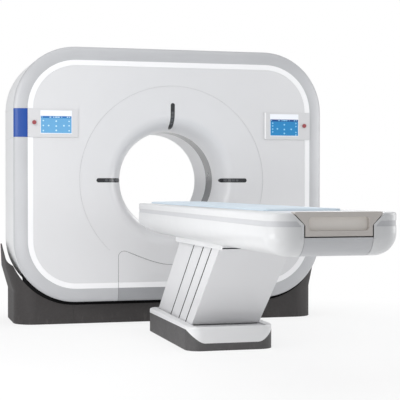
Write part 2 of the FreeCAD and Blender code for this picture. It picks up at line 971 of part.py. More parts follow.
def make_rotor_drum():
    """The rotor's disc, with the rim that the belt drives and a ring of relief holes."""
    size = SIZE
    front, back = size["drum_front"], size["drum_front"] + size["drum_thick"]
    disc = turned(
        "rotor_disc",
        [
            (size["bearing_bore"], front),
            (size["drum_radius"] - size["rim_wall"], front),
            (size["drum_radius"] - size["rim_wall"], back - size["rim_depth"]),
            (size["drum_radius"], back - size["rim_depth"]),
            (size["drum_radius"], back),
            (size["bearing_bore"], back),
        ],
    )
    count = 12
    holes = []
    for number in range(count):
        angle = math.radians(360 / count * (number + 0.5))
        start = (
            size["relief_circle"] * math.cos(angle),
            front - 5,
            size["iso_height"] + size["relief_circle"] * math.sin(angle),
        )
        length = size["drum_thick"] + 10
        holes.append(rod(f"rotor_relief_{number}", "Y", start, size["relief_radius"], length))
    return cut("rotor_drum", disc, *holes)


def make_x_ray_tube():
    """The tube's round housing with its two end caps, lying along the bore at the top."""
    size = SIZE
    back = size["drum_front"]
    height = size["iso_height"] + size["tube_circle"]
    start = back - size["tube_length"]
    housing = rod("tube_housing", "Y", (0, start, height), size["tube_radius"], size["tube_length"])
    cap = rod("tube_cap", "Y", (0, start - 18, height), size["tube_radius"] - 30, 20)
    half = size["tube_radius"] * 0.7
    low = (-half, back - size["tube_length"] / 2, height)
    saddle = block("tube_saddle", low, (half, back, height + size["tube_radius"] + 20))
    return fuse("x_ray_tube", housing, cap, saddle)


def make_collimator():
    """The beam-limiting box under the tube, tapered along the fan of rays."""
    size = SIZE
    top = size["iso_height"] + size["tube_circle"] - size["tube_radius"] + 8
    low = top - size["collimator_height"]
    half = size["collimator_width"] / 2
    length = size["collimator_length"] / 2
    box = padded(
        "collimator_box",
        "Y",
        -length,
        size["drum_front"],
        [(-half, low), (half, low), (half * 0.6, top), (-half * 0.6, top)],
    )
    tube = rod(
        "collimator_seat",
        "Y",
        (0, -length - 5, size["iso_height"] + size["tube_circle"]),
        size["tube_radius"],
        size["drum_front"] + length + 10,
    )
    return cut("collimator", box, tube)


def detector_arc_shape():
    """The detector: an arc about the tube's focus, with its electronics housing below it."""
    focus = ISO + Vector(0, 0, mm("focus_radius"))
    start, end = -mm("detector_length") / 2, mm("drum_front")
    inner, outer = mm("detector_reach"), mm("detector_reach") + mm("detector_thick")
    half = mm("fan_angle")

    def at(radius, degrees):
        a = math.radians(degrees)
        return focus + Vector(radius * math.sin(a), start, -radius * math.cos(a))

    box = outer + 70
    edges = [
        Part.Arc(at(inner, -half), at(inner, 0), at(inner, half)).toShape(),
        Part.makeLine(at(inner, half), at(outer, half)),
        Part.makeLine(at(outer, half), at(box, half * 0.5)),
        Part.makeLine(at(box, half * 0.5), at(box, -half * 0.5)),
        Part.makeLine(at(box, -half * 0.5), at(outer, -half)),
        Part.makeLine(at(outer, -half), at(inner, -half)),
    ]
    return Part.Face(Part.Wire(Part.__sortEdges__(edges))).extrude(Vector(0, end - start, 0))


def rotor_module(name, angle, length, fins):
    """A box bolted to the front of the disc at an angle round the rotor."""
    size = SIZE
    circle, wide, tall = mm("module_circle"), mm("module_width"), mm("module_height")
    back = size["drum_front"]
    turn = FreeCAD.Rotation(Vector(0, 1, 0), -angle)
    spot = turn.multVec(Vector(circle, 0, 0))
    box = Part.makeBox(tall, length, wide, Vector(-tall / 2, back.value - length, -wide / 2))
    for fin in range(fins):
        z = -wide / 2 + wide * (fin + 0.5) / fins
        groove = wide / fins / 2
        slot = Part.makeBox(30, length + 2, groove, Vector(tall / 2 - 25, back.value - length - 1, z))
        box = box.cut(slot)
    box.rotate(Vector(), Vector(0, 1, 0), -angle)
    box.translate(ISO + spot)
    return solid(name, box)


def make_slip_ring():
    size = SIZE
    front = size["slip_front"]
    back = front + size["slip_thick"]
    return turned(
        "slip_ring",
        [
            (size["bearing_bore"], front),
            (size["slip_radius"], front),
            (size["slip_radius"], back),
            (size["bearing_bore"], back),
        ],
    )


def make_brush_block():
    """The fixed brush holder over the slip ring's rim, bolted to the back of the stator."""
    size = SIZE
    low = size["iso_height"] + size["slip_radius"] + size["run_gap"]
    start = size["stator_front"] + size["stator_thick"]
    end = size["slip_front"] + size["slip_thick"]
    return block("brush_block", (-90, start, low), (90, end, low + 70))


def make_motor():
    size = SIZE
    centre_z = size["iso_height"] - size["pulley_drop"]
    start = size["stator_front"] + size["stator_thick"]
    place = (size["pulley_x"], start, centre_z)
    case = rod("motor_case", "Y", place, size["motor_radius"], size["motor_length"])
    bore = rod(
        "motor_bore",
        "Y",
        (size["pulley_x"], start - 1, centre_z),
        size["shaft_radius"] + size["run_gap"],
        size["motor_length"] * 0.6,
    )
    return cut("drive_motor", case, bore)


def make_motor_pulley():
    size = SIZE
    centre_z = size["iso_height"] - size["pulley_drop"]
    back = size["drum_front"] + size["drum_thick"]
    start = back - size["rim_depth"]
    place = (size["pulley_x"], start, centre_z)
    wheel = rod("pulley_wheel", "Y", place, size["pulley_radius"], size["rim_depth"])
    reach = size["stator_front"] + size["stator_thick"] + size["motor_length"] * 0.5 - start
    shaft = rod("pulley_shaft", "Y", (size["pulley_x"], start, centre_z), size["shaft_radius"], reach)
    return fuse("motor_pulley", wheel, shaft)


def drive_belt_shape():
    """The flat belt: one loop round the rotor's rim and the motor's pulley."""
    gap = mm("run_gap")
    back = mm("drum_front") + mm("drum_thick")
    middle = back - mm("rim_depth") / 2
    start = middle - mm("belt_width") / 2
    far = Vector(mm("pulley_x"), 0, -mm("pulley_drop"))
    length = far.Length
    line = far.normalize()
    side = Vector(-line.z, 0, line.x)

    def loop(grow):
        big, small = mm("drum_radius") + gap + grow, mm("pulley_radius") + gap + grow
        lean = math.asin((big - small) / length)

        def at(centre, radius, sign):
            reach = line * math.sin(lean) + side * (math.cos(lean) * sign)
            return ISO + Vector(0, start, 0) + line * centre + reach * radius

        far_point = ISO + Vector(0, start, 0) - line * big
        near_point = ISO + Vector(0, start, 0) + line * (length + small)
        edges = [
            Part.Arc(at(0, big, 1), far_point, at(0, big, -1)).toShape(),
            Part.makeLine(at(0, big, -1), at(length, small, -1)),
            Part.Arc(at(length, small, -1), near_point, at(length, small, 1)).toShape(),
            Part.makeLine(at(length, small, 1), at(0, big, 1)),
        ]
        return Part.Face(Part.Wire(edges))

    ring = loop(mm("belt_thick")).cut(loop(0))
    return ring.extrude(Vector(0, mm("belt_width"), 0))


def make_window_ring():
    size = SIZE
    start = -size["face_to_scan"] + size["mouth_depth"] + 0.3
    wall = size["liner_wall"]
    return turned(
        "window_ring",
        [
            (size["bore_radius"], start),
            (size["bore_radius"] + wall, start),
            (size["bore_radius"] + wall, start + size["window_width"]),
            (size["bore_radius"], start + size["window_width"]),
        ],
    )


def make_bore_liner():
    size = SIZE
    start = -size["face_to_scan"] + size["mouth_depth"] + size["window_width"] + 0.6
    rear = -size["face_to_scan"] + size["bezel_depth"] + size["cover_depth"] + size["rear_depth"]
    end = rear - size["rear_mouth_depth"] - 0.3
    wall = size["liner_wall"] + 2
    return turned(
        "bore_liner",
        [
            (size["bore_radius"], start),
            (size["bore_radius"] + wall, start),
            (size["bore_radius"] + wall, end),
            (size["bore_radius"], end),
        ],
    )


# ---- the table's floor base --------------------------------------------------------------------

def ahead(alias):
    """The Y of a place on the table, from its distance in front of the gantry's face."""
    return -SIZE["face_to_scan"] - SIZE[alias]


def plinth_prism(inset, low, high):
    half = mm("plinth_half_width") - inset
    front = ahead("plinth_front").value + inset
    back = ahead("plinth_back").value - inset
    corner = mm("plinth_corner") - inset
    wire = rounded_wire((-half, front), (half, back), corner, lambda u, v: Vector(u, v, low))
    return Part.Face(wire).extrude(Vector(0, 0, high - low))


def side_profile(points):
    """A prism right across the table from corners given in Y and Z."""
    corners = [Vector(-FAR, y, z) for y, z in points]
    return Part.Face(Part.makePolygon(corners + corners[:1])).extrude(Vector(2 * FAR, 0, 0))


def plinth_outer():
    """The floor base's outer form: its rolled top rim climbs a little towards the gantry."""
    front, back = ahead("plinth_front").value, ahead("plinth_back").value
    height, climb = mm("plinth_height"), mm("plinth_rise")
    body = plinth_prism(0, 0, height + climb + 20)
    body = body.cut(
        side_profile(
            [(front - 10, height), (back + 10, height + climb), (back + 10, FAR), (front - 10, FAR)]
        )
    )
    rim = [edge for edge in body.Edges if edge.BoundBox.ZMin > height - 1]
    return body.makeFillet(mm("plinth_rim_round"), rim)


def plinth_body():
    """The hollow floor base, open at the top where the arm covers come out."""
    wall, half = mm("plinth_wall"), mm("plinth_opening_half")
    front, back = ahead("plinth_front").value, ahead("plinth_back").value
    hollow = plinth_prism(wall, -1, mm("plinth_height") - mm("plinth_rim_depth"))
    opening = slab((-half, front + mm("plinth_front_rim"), 0), (half, back, FAR))
    opening = opening.common(plinth_prism(wall, -1, FAR))
    return plinth_outer().cut(hollow).cut(opening)


def plinth_upper():
    """The pale shell's extent: high along the sides, and a deep bowl round the front corners."""
    low, high = mm("plinth_front_split"), mm("plinth_split")
    inner, outer = mm("plinth_bowl_half"), mm("plinth_half_width") - 2
    front = ahead("plinth_front").value - 50
    edges = []
    for side in (-1, 1):
        at = lambda share, climb: Vector(
            side * (inner + share * (outer - inner)), front, low + climb * (high - low)
        )
        sweep = Part.BSplineCurve()
        sweep.interpolate(
            [at(0, 0), at(0.2, 0.06), at(0.42, 0.22), at(0.7, 0.52), at(0.86, 0.74), at(1, 1)]
        )
        edges.append(sweep.toShape())
        edges.append(Part.makeLine(at(1, 1), Vector(side * FAR, front, high)))
    edges.append(Part.makeLine(Vector(-inner, front, low), Vector(inner, front, low)))
    rail = [Vector(-FAR, front, high), Vector(-FAR, front, FAR)]
    rail += [Vector(FAR, front, FAR), Vector(FAR, front, high)]
    edges += [Part.makeLine(*pair) for pair in zip(rail, rail[1:])]
    bowl = Part.Face(Part.Wire(Part.__sortEdges__(edges)))
    bowl = bowl.extrude(Vector(0, mm("plinth_front") - mm("plinth_middle") + 50, 0))
    return bowl.fuse(slab((-FAR, front, high), (FAR, FAR, FAR)))


def plinth_shell_shape():
    return plinth_body().common(plinth_upper())


def plinth_cover_shape():
    return plinth_body().cut(plinth_upper())


def cosine(angle):
    return Term(math.cos(math.radians(angle.value)), f"cos({angle.text})")


def sine(angle):
    return Term(math.sin(math.radians(angle.value)), f"sin({angle.text})")


COS, SIN = cosine(SIZE["arm_angle"]), sine(SIZE["arm_angle"])


def on_arm(pivot, along, across):
    """Y and Z of a point from an arm's lower pivot: along the arm, and across it to the rear."""
    y = ahead(pivot) - COS * along + SIN * across
    return y, SIZE["pivot_height"] + SIN * along + COS * across


def at_height(pivot, across, z):
    """Y and Z of the point where a line beside an arm comes to a height."""
    y = ahead(pivot) - (z - SIZE["pivot_height"]) * COS / SIN + across / SIN
    return y, term(z)


ARM_PIVOTS = ["arm_pivot_front", "arm_pivot_second", "arm_pivot_third", "arm_pivot_rear"]


def make_table_base_frame():
    """The foot plate, its four cheeks, the arms' two shafts and the covers' four short pins."""
    size = SIZE
    plate = plinth_prism(mm("plinth_wall") + 0.3, 0, mm("foot_plate"))
    parts = [solid("foot_plate_blank", plate)]
    top = size["pivot_height"] + size["pivot_radius"] + 7
    inner = size["cheek_inner"]

    def inner_cheek(name, span):
        x0, x1 = span(inner, inner + size["cheek_thick"])
        low = (x0, ahead("arm_pivot_front") - 25, size["foot_plate"])
        return block(name, low, (x1, ahead("arm_pivot_rear") + 25, top))

    outer = size["cover_half_width"] + 3

    def outer_cheek(name, span):
        x0, x1 = span(outer, outer + 8)
        low = (x0, ahead("arm_pivot_second") - 25, size["foot_plate"])
        high = (x1, ahead("arm_pivot_third") + 25, size["pivot_height"] + 20)
        return block(name, low, high)

    parts += both_sides("base_cheek", inner_cheek) + both_sides("base_outer_cheek", outer_cheek)
    reach = inner + size["cheek_thick"]
    for word in ("arm_pivot_front", "arm_pivot_rear"):
        start = (-reach, ahead(word), size["pivot_height"])
        parts.append(rod(word + "_shaft", "X", start, size["pivot_radius"], reach * 2))
    for number, word in ((2, "arm_pivot_second"), (3, "arm_pivot_third")):
        tip = cover_plane(number) - size["cover_sheet"] - 1

        def pin(name, span):
            x0, x1 = span(tip, outer + 1)
            return rod(name, "X", (x0, ahead(word), size["pivot_height"]), size["pin_radius"], x1 - x0)

        parts += both_sides(f"base_pin_{number}", pin)
    middle = (ahead("plinth_front") + ahead("plinth_back")) / 2
    holes = []
    for number, (i, j) in enumerate(((-1, -1), (1, -1), (1, 1), (-1, 1))):
        start = (
            size["table_anchor_x"] / 2 * i,
            middle + size["table_anchor_y"] / 2 * j,
            -5,
        )
        length = size["foot_plate"] + 10
        holes.append(rod(f"table_anchor_{number}", "Z", start, size["anchor_hole"], length))
    return cut("table_base_frame", fuse("table_base_weldment", *parts), *holes)


def cover_plane(number):
    """The outer face of an arm cover: each one lies a step inside the one before it."""
    return SIZE["cover_half_width"] - SIZE["cover_step"] * (number - 1)


def make_arm(word, pivot):
    """Two bars with a cross tube, drilled for the shafts at both ends."""
    size = SIZE
    half = size["arm_width"] / 2
    reach = size["arm_length"]
    outline = [
        on_arm(pivot, -half, -half * 0.4),
        on_arm(pivot, -half * 0.4, -half),
        on_arm(pivot, reach + half * 0.4, -half),
        on_arm(pivot, reach + half, -half * 0.4),
        on_arm(pivot, reach + half, half * 0.4),
        on_arm(pivot, reach + half * 0.4, half),
        on_arm(pivot, -half * 0.4, half),
        on_arm(pivot, -half, half * 0.4),
    ]
    bore = size["pivot_radius"] + size["run_gap"]
    holes = [(on_arm(pivot, 0, 0), bore), (on_arm(pivot, reach, 0), bore)]
    thick = size["arm_thick"] / 2

    def bar(name, span):
        x0, x1 = span(size["arm_offset"] - thick, size["arm_offset"] + thick)
        return padded(name, "X", x0, x1, outline, holes)

    parts = both_sides(f"arm_{word}_bar", bar)
    y, z = on_arm(pivot, reach / 2, 0)
    inner = size["arm_offset"]
    parts.append(rod(f"arm_{word}_tube", "X", (-inner, y, z), 22, inner * 2))
    return parts


def make_front_arm():
    """The driven arm, with the blocks that hold the front cover."""
    size = SIZE
    pivot = "arm_pivot_front"
    sheet_back = size["cover_sheet"] - size["cover_front_1"]
    half = size["arm_width"] / 2
    outline = [
        on_arm(pivot, 300, sheet_back),
        on_arm(pivot, 560, sheet_back),
        on_arm(pivot, 560, -half),
        on_arm(pivot, 300, -half),
    ]
    thick = size["arm_thick"] / 2

    def holder(name, span):
        x0, x1 = span(size["arm_offset"] - thick, size["arm_offset"] + thick)
        return padded(name, "X", x0, x1, outline)

    return fuse("lift_arm_front", *make_arm("front", pivot), *both_sides("front_holder", holder))


def make_rear_arm():
    """The second arm, with the spacers that hold the innermost cover."""
    size = SIZE
    pivot = "arm_pivot_rear"
    y, z = on_arm(pivot, size["arm_length"] * 0.5, 0)
    start = size["arm_offset"] + size["arm_thick"] / 2
    end = cover_plane(4) - size["cover_sheet"]

    def spacer(name, span):
        x0, x1 = span(start, end)
        return rod(name, "X", (x0, y, z), 14, x1 - x0)

    return fuse("lift_arm_rear", *make_arm("rear", pivot), *both_sides("rear_spacer", spacer))


def make_arm_cover(number):
    """One of the four nested covers: a pair of slanting side plates, and a web on two of them."""
    size = SIZE
    pivot = ARM_PIVOTS[number - 1]
    front, rear = -size[f"cover_front_{number}"], size[f"cover_rear_{number}"]
    low, high = size["cover_bottom"], size["cover_top"]
    outline = [at_height(pivot, front, low), at_height(pivot, front, high)]
    outline.append(at_height(pivot, rear, high))
    if number == 4:
        limit = ahead("plinth_back") - size["plinth_wall"] - 10
        start = ahead(pivot) + rear / SIN
        outline.append((limit, size["pivot_height"] + (start - limit) * SIN / COS))
        outline.append((limit, low))
    else:
        outline.append(at_height(pivot, rear, low))
    holes = []
    if number in (2, 3):
        bore = size["pin_radius"] + size["run_gap"]
        holes = [(on_arm(pivot, 0, 0), bore), (on_arm(pivot, size["arm_length"], 0), bore)]
    outer = cover_plane(number)
    name = f"arm_cover_{number}"

    def plate(word, span):
        x0, x1 = span(outer - size["cover_sheet"], outer)
        return padded(word, "X", x0, x1, outline, holes)

    parts = both_sides(name + "_plate", plate)
    if number == 1:
        back = front + size["cover_sheet"]
        high = size["cover_web_top"]
        web = [at_height(pivot, front, low), at_height(pivot, front, high)]
        web += [at_height(pivot, back, high), at_height(pivot, back, low)]
        parts.append(padded(name + "_web", "X", -outer + 1, outer - 1, web))
        root = at_height(pivot, back, size["apron_height"])[0]
        under = size["apron_height"] - size["cover_sheet"]
        low = (1 - outer, ahead(pivot) - size["apron_reach"], under)
        parts.append(block(name + "_apron", low, (outer - 1, root, size["apron_height"])))
    if number == 4:
        near = term(44)
        low, high = low + 70, high - 90
        web = [at_height(pivot, near, low), at_height(pivot, near, high)]
        near = near + size["cover_sheet"]
        web += [at_height(pivot, near, high), at_height(pivot, near, low)]
        parts.append(padded(name + "_web", "X", -outer + 1, outer - 1, web))
    return fuse(name, *parts)


def make_lift_actuator():
    """The electric lifting ram, lying on the foot plate between the arms."""
    size = SIZE
    z = size["foot_plate"] + 56
    start = ahead("arm_pivot_rear") - 70
    length, reach = size["ram_length"], size["ram_stem"]
    case = rod("ram_case", "Y", (0, start - length, z), 32, length)
    stem = rod("ram_stem", "Y", (0, start - length - reach, z), 13, reach + 5)
    foot = block("ram_foot", (-26, start - length + 40, size["foot_plate"]), (26, start - 40, z))
    gear = block("ram_gearbox", (-45, start - 90, z - 30), (80, start - 10, z + 30))
    return fuse("lift_actuator", case, stem, foot, gear)


# ---- the table top ----------------------------------------------------------------------------------

def make_carriage_frame():
    """The beams under the table top, with the cheeks, shafts and pins at the arms' upper ends."""
    size = SIZE
    top = size["channel_floor"] - size["table_wall"]
    low = top - 52
    outer = size["cheek_inner"] + size["cheek_thick"]
    parts = []

    def beam(name, span):
        x0, x1 = span(outer - 42, outer)
        high = (x1, ahead("table_start") - 240, top)
        return block(name, (x0, ahead("table_end") + 150, low), high)

    parts += both_sides("beam", beam)
    rise_y, rise_z = COS * size["arm_length"], SIN * size["arm_length"]
    shaft_z = size["pivot_height"] + rise_z

    def cheek(name, span):
        x0, x1 = span(size["cheek_inner"], outer)
        front = ahead("arm_pivot_front") - rise_y - 25
        high = (x1, ahead("arm_pivot_rear") - rise_y + 28, low + 1)
        return block(name, (x0, front, shaft_z - size["pivot_radius"] - 9), high)

    parts += both_sides("carriage_cheek", cheek)
    for word in ("arm_pivot_front", "arm_pivot_rear"):
        start = (-outer, ahead(word) - rise_y, shaft_z)
        parts.append(rod("top_" + word, "X", start, size["pivot_radius"], outer * 2))
    for number, word in ((2, "arm_pivot_second"), (3, "arm_pivot_third")):
        tip = cover_plane(number) + 1

        def pin(name, span):
            x0, x1 = span(outer - 1, tip)
            start = (x0, ahead(word) - rise_y, shaft_z)
            return rod(name, "X", start, size["pin_radius"], x1 - x0)

        parts += both_sides(f"top_pin_{number}", pin)
    span = outer - 40
    count = 5
    first, last = ahead("table_start") - 270, ahead("table_end") + 250
    for number in range(count):
        y = first + (last - first) * (number / (count - 1))
        high = (span, y + 30, top)
        parts.append(block(f"cross_member_{number}", (-span, y - 30, top - 40), high))
    return fuse("carriage_frame", *parts)


def is_upright(edge):
    box = edge.BoundBox
    return box.XLength < 0.01 and box.YLength < 0.01 and box.ZLength > 1


def upright_edges(shape, y):
    return [e for e in shape.Edges if is_upright(e) and abs(e.CenterOfMass.y - y) < 1]


def table_blank(inset, low, high):
    """The table's plan before its corners are rounded: it widens towards the foot end."""
    start = ahead("table_start").value - inset
    end = ahead("table_end").value + inset
    near, far = mm("table_half_width") - inset, mm("table_foot_half_width") - inset
    corners = [(-near, start), (-far, end), (far, end), (near, start)]
    corners = [Vector(x, y, low) for x, y in corners]
    plan = Part.Face(Part.makePolygon(corners + corners[:1]))
    return plan.extrude(Vector(0, 0, high - low))


def table_plan(inset, low, high):
    """The table top's outline: wide corners at the foot end, tight ones at the gantry end."""
    start = ahead("table_start").value - inset
    end = ahead("table_end").value + inset
    prism = table_blank(inset, low, high)
    for y, alias in ((end, "table_corner"), (start, "table_gantry_corner")):
        prism = prism.makeFillet(mm(alias) - inset, upright_edges(prism, y))
    return prism


def under_rise(inset):
    """What the rising arc of the underside takes off the hull at the gantry end."""
    start = ahead("table_start").value
    under, rise = mm("table_under") + inset, mm("table_rise")
    step = mm("table_under_start") - mm("table_under")
    sweep = (rise * rise + step * step) / (2 * step)
    sink, past = 0.5, 20

    def swept(along):
        height = under - sink + sweep - math.sqrt(sweep**2 - along**2)
        return Vector(-FAR, start - rise + along, height)

    low = Vector(0, 0, -2 * step)
    corners = [swept(rise + past), swept(rise + past) + low, swept(-past) + low, swept(-past)]
    edges = [Part.makeLine(*pair) for pair in zip(corners, corners[1:])]
    edges.append(Part.Arc(swept(-past), swept(rise / 2), swept(rise + past)).toShape())
    return Part.Face(Part.Wire(edges)).extrude(Vector(2 * FAR, 0, 0))


def table_hull(inset, top):
    """The table body's outer form: deep round edges, and an underside that rises in an arc."""
    start = ahead("table_start").value - inset
    end = ahead("table_end").value + inset
    under = mm("table_under") + inset
    hull = table_blank(inset, under, top)
    hull = hull.makeFillet(mm("table_corner") - inset, upright_edges(hull, end))
    lower = [e for e in hull.Edges if e.BoundBox.ZMax < under + 1 and e.BoundBox.YMin < start - 1]
    hull = hull.makeFillet(mm("table_bottom_round") - inset, lower)
    return hull.cut(under_rise(inset)).common(table_plan(inset, under - 1, top + 1))


def column_opening():
    """Where the arm covers pass into the table, over their whole travel."""
    half = mm("plinth_opening_half")
    reach = COS.value * mm("arm_length")
    front = ahead("arm_pivot_front").value - reach - mm("opening_front")
    back = ahead("arm_pivot_rear").value + mm("opening_back")
    return half, front, back


def table_shell():
    """The table body's thin wall, open at the top, with the opening for the arms below."""
    wall = mm("table_wall")
    top = mm("table_strip_low")
    half, front, back = column_opening()
    shell = table_hull(0, top).cut(table_hull(wall, top + 20))
    return shell.cut(slab((-half, front, 0), (half, back, mm("table_under") + 30)))


def column_collar():
    """The lip round the column's opening, along both sides and across the foot side."""
    half, front, back = column_opening()
    wall, back = mm("collar_wall"), ahead("collar_back").value
    top = mm("table_under") + mm("table_wall")
    collar = slab((-half - wall, front - wall, mm("collar_low")), (half + wall, back, top))
    collar = collar.makeFillet(wall * 1.5, upright_edges(collar, front - wall))
    collar = collar.cut(slab((-half, front, 0), (half, back + 1, FAR)))
    return collar.cut(slab((-half, front - wall - 1, 0), (half, front + 1, mm("collar_front_low"))))


def channel_prism(growth, start, end, floor_growth=None):
    """The cradle's channel, grown outwards all round, between two distances along the table."""
    drop = growth if floor_growth is None else floor_growth
    keel = mm("cradle_keel") + mm("cradle_gap") + growth
    rim = mm("cradle_half_width") + mm("cradle_gap") + growth
    knee = mm("cradle_keel_top") - growth / 3
    right = [(keel, mm("channel_floor") - drop), (keel, knee), (rim, mm("table_top") - growth / 3)]
    right.append((rim, FAR))
    points = right + [(-x, z) for x, z in reversed(right)]
    corners = [Vector(x, start, z) for x, z in points]
    face = Part.Face(Part.makePolygon(corners + corners[:1]))
    return face.extrude(Vector(0, end - start, 0))


def channel_clearance():
    """The room that the table's body and trim leave for the deck's channel at both ends."""
    start, end = ahead("table_start").value, ahead("table_end").value
    wall, lip = mm("table_wall") + 0.5, mm("channel_lip") + 0.5
    foot = channel_prism(lip, end - 10, end + mm("channel_lip_depth") + 0.5, wall)
    return foot.fuse(channel_prism(wall, end, start + 10, wall))


def end_slab(growth):
    half = mm("end_cover_half") + growth
    end = ahead("table_end").value
    depth = mm("table_bottom_round") + 25
    return slab((-half, end - 10, 0), (half, end + depth + growth, mm("channel_floor")))


def table_body_shape():
    body = table_shell().fuse(column_collar())
    return body.cut(end_slab(mm("seam") / 2)).cut(channel_clearance())


def table_end_cover_shape():
    """The foot end's middle panel: its edges are stepped, so that the seams show dark."""
    top, wall = mm("table_strip_low"), mm("table_wall")
    skin = table_hull(0, top).cut(table_hull(wall / 2, top + 20))
    lining = table_hull(wall / 2, top).cut(table_hull(wall, top + 20))
    skin = skin.common(end_slab(mm("seam") / 2 - mm("end_cover_seam")))
    return skin.fuse(lining.common(end_slab(-mm("seam") / 2)))


def side_trim_shape():
    """The grey strip between the table's body and its top, set back a little all round."""
    low, high = mm("table_strip_low"), mm("table_strip_high")
    inset = mm("trim_inset")
    trim = table_plan(inset, low, high).cut(table_plan(inset + mm("table_wall"), low - 1, high + 1))
    return trim.cut(channel_clearance())


def rimmed_plan(inset, low, high):
    """The table's outline with its upper edge rounded."""
    plan = table_plan(inset, low, high)
    upper = [edge for edge in plan.Edges if edge.BoundBox.ZMin > high - 1]
    return plan.makeFillet(mm("table_rim_round") - inset, upper)


def top_deck_shape():
    """The white top: a rimmed shell, and the channel with two raised runners for the cradle."""
    wall = mm("table_wall")
    low, top = mm("table_strip_high"), mm("table_top")
    floor = mm("channel_floor")
    start, end = ahead("table_start").value, ahead("table_end").value
    lip_end = end + mm("channel_lip_depth")
    deck = rimmed_plan(0, low, top).cut(rimmed_plan(wall, low - 1, top - wall))
    channel = channel_prism(wall, end, start)
    channel = channel.fuse(channel_prism(mm("channel_lip"), end, lip_end, wall))
    channel = channel.common(rimmed_plan(0, floor - wall - 1, top))
    deck = deck.fuse(channel).cut(channel_prism(0, end - 10, start + 10))
    behind = end + wall + mm("end_cover_seam")
    keel = mm("cradle_keel") + mm("cradle_gap")
    deck = deck.cut(slab((-keel, end - 10, 0), (keel, behind, floor + 1)))
    runner_top = floor + mm("runner_height") - 0.3
    outer, inner = mm("cradle_keel") - 12, mm("cradle_keel") - 45
    for x in (-outer, inner):
        foot = (x, end + mm("handle_thick") + 5, floor - 1)
        deck = deck.fuse(slab(foot, (x + outer - inner, start - 5, runner_top)))
    return deck


def make_cradle_drive():
    """The cradle's motor and gearbox, hung under the channel between the beams."""
    size = SIZE
    top = size["channel_floor"] - size["table_wall"]
    y = ahead("table_start") - size["drive_setback"]
    box = block("drive_gearbox", (-70, y - 110, top - 75), (40, y, top))
    motor = rod("drive_motor_case", "X", (38, y - 55, top - 40), 32, 70)
    return fuse("cradle_drive", box, motor)


def make_cradle():
    """The sliding patient cradle: a hollow keel with flared edges."""
    size = SIZE
    wall = size["cradle_wall"]
    low = size["channel_floor"] + size["runner_height"]
    top, knee = size["cradle_top"], size["cradle_keel_top"]
    keel, half = size["cradle_keel"], size["cradle_half_width"]
    end = ahead("table_end") + size["handle_thick"]
    start = ahead("table_start") - 4
    skin = [(keel, low), (keel, knee), (half, top - 4), (half, top)]
    outline = skin + [(-x, z) for x, z in reversed(skin)]
    shell = padded("cradle_outer", "Y", end, start, outline)
    hollow = [
        (keel - wall, low + wall),
        (keel - wall, knee + 3),
        (half - wall * 3, top - wall),
    ]
    inner = hollow + [(-x, z) for x, z in reversed(hollow)]
    core = padded("cradle_core", "Y", end + wall, start - wall, inner)
    foot = ahead("table_start") - size["pad_start"] - size["pad_length"] - size["pad_gap"]
    low, high = (-half - 1, foot, top - size["pad_sink"]), (half + 1, start + 1, top + 9)
    bed = block("cradle_pad_bed", low, high)
    return cut("cradle", shell, core, bed)


def cradle_handle_shape():
    """The end handle, with the same section as the cradle and a deep round-cornered grip."""
    end = ahead("table_end").value
    thick = mm("handle_thick")
    low = mm("channel_floor") + mm("runner_height") + 1
    top, knee = mm("handle_top"), mm("cradle_keel_top") - 3
    keel, half = mm("cradle_keel") + 2, mm("cradle_half_width") + 3
    points = [(keel, low), (keel, knee), (half, top)]
    points += [(-x, z) for x, z in reversed(points)]
    corners = [Vector(x, end, z) for x, z in points]
    block_shape = Part.Face(Part.makePolygon(corners + corners[:1])).extrude(Vector(0, thick, 0))
    tips = [e for e in block_shape.Edges if e.BoundBox.ZMin > top - 1 and e.BoundBox.YLength > 1]
    block_shape = block_shape.makeFillet(mm("handle_corner"), tips)
    return block_shape.cut(grip_prism(0, end - 1, end + 34))


def grip_prism(inset, start, end):
    half = mm("grip_half_width") - inset
    low, high = mm("grip_low") + inset, mm("grip_high") - inset
    to_space = lambda u, v: Vector(u, start, v)
    wire = rounded_wire((-half, low), (half, high), mm("grip_corner") - inset, to_space)
    return Part.Face(wire).extrude(Vector(0, end - start, 0))


def grip_insert_shape():
    """The pale dished lining at the back of the grip."""
    end = ahead("table_end").value
    return grip_prism(0.3, end + 24, end + 34)


def mattress_shape():
    """The thin pad on the cradle: flat below, crowned on top, with drawn-in sides."""
    half, thick = mm("pad_half_width"), mm("pad_thick")
    low = mm("cradle_top") - mm("pad_sink") + 0.3
    start = ahead("table_start").value - mm("pad_start")
    edge = thick * 0.62
    at = lambda x, z: Vector(x, start, low + z)
    edges = [
        Part.makeLine(at(-half + 5, 0), at(half - 5, 0)),
        Part.Arc(at(half - 5, 0), at(half, edge * 0.55), at(half - 8, edge)).toShape(),
        Part.Arc(at(half - 8, edge), at(0, thick), at(-half + 8, edge)).toShape(),
        Part.Arc(at(-half + 8, edge), at(-half, edge * 0.55), at(-half + 5, 0)).toShape(),
    ]
    pad = Part.Face(Part.Wire(edges)).extrude(Vector(0, -mm("pad_length"), 0))
    wire = rounded_wire(
        (-half - 1, start - mm("pad_length")),
        (half + 1, start),
        45,
        lambda u, v: Vector(u, v, low - 1),
    )
    return pad.common(Part.Face(wire).extrude(Vector(0, 0, thick + 2)))


# ---- the whole object ---------------------------------------------------------------------------------

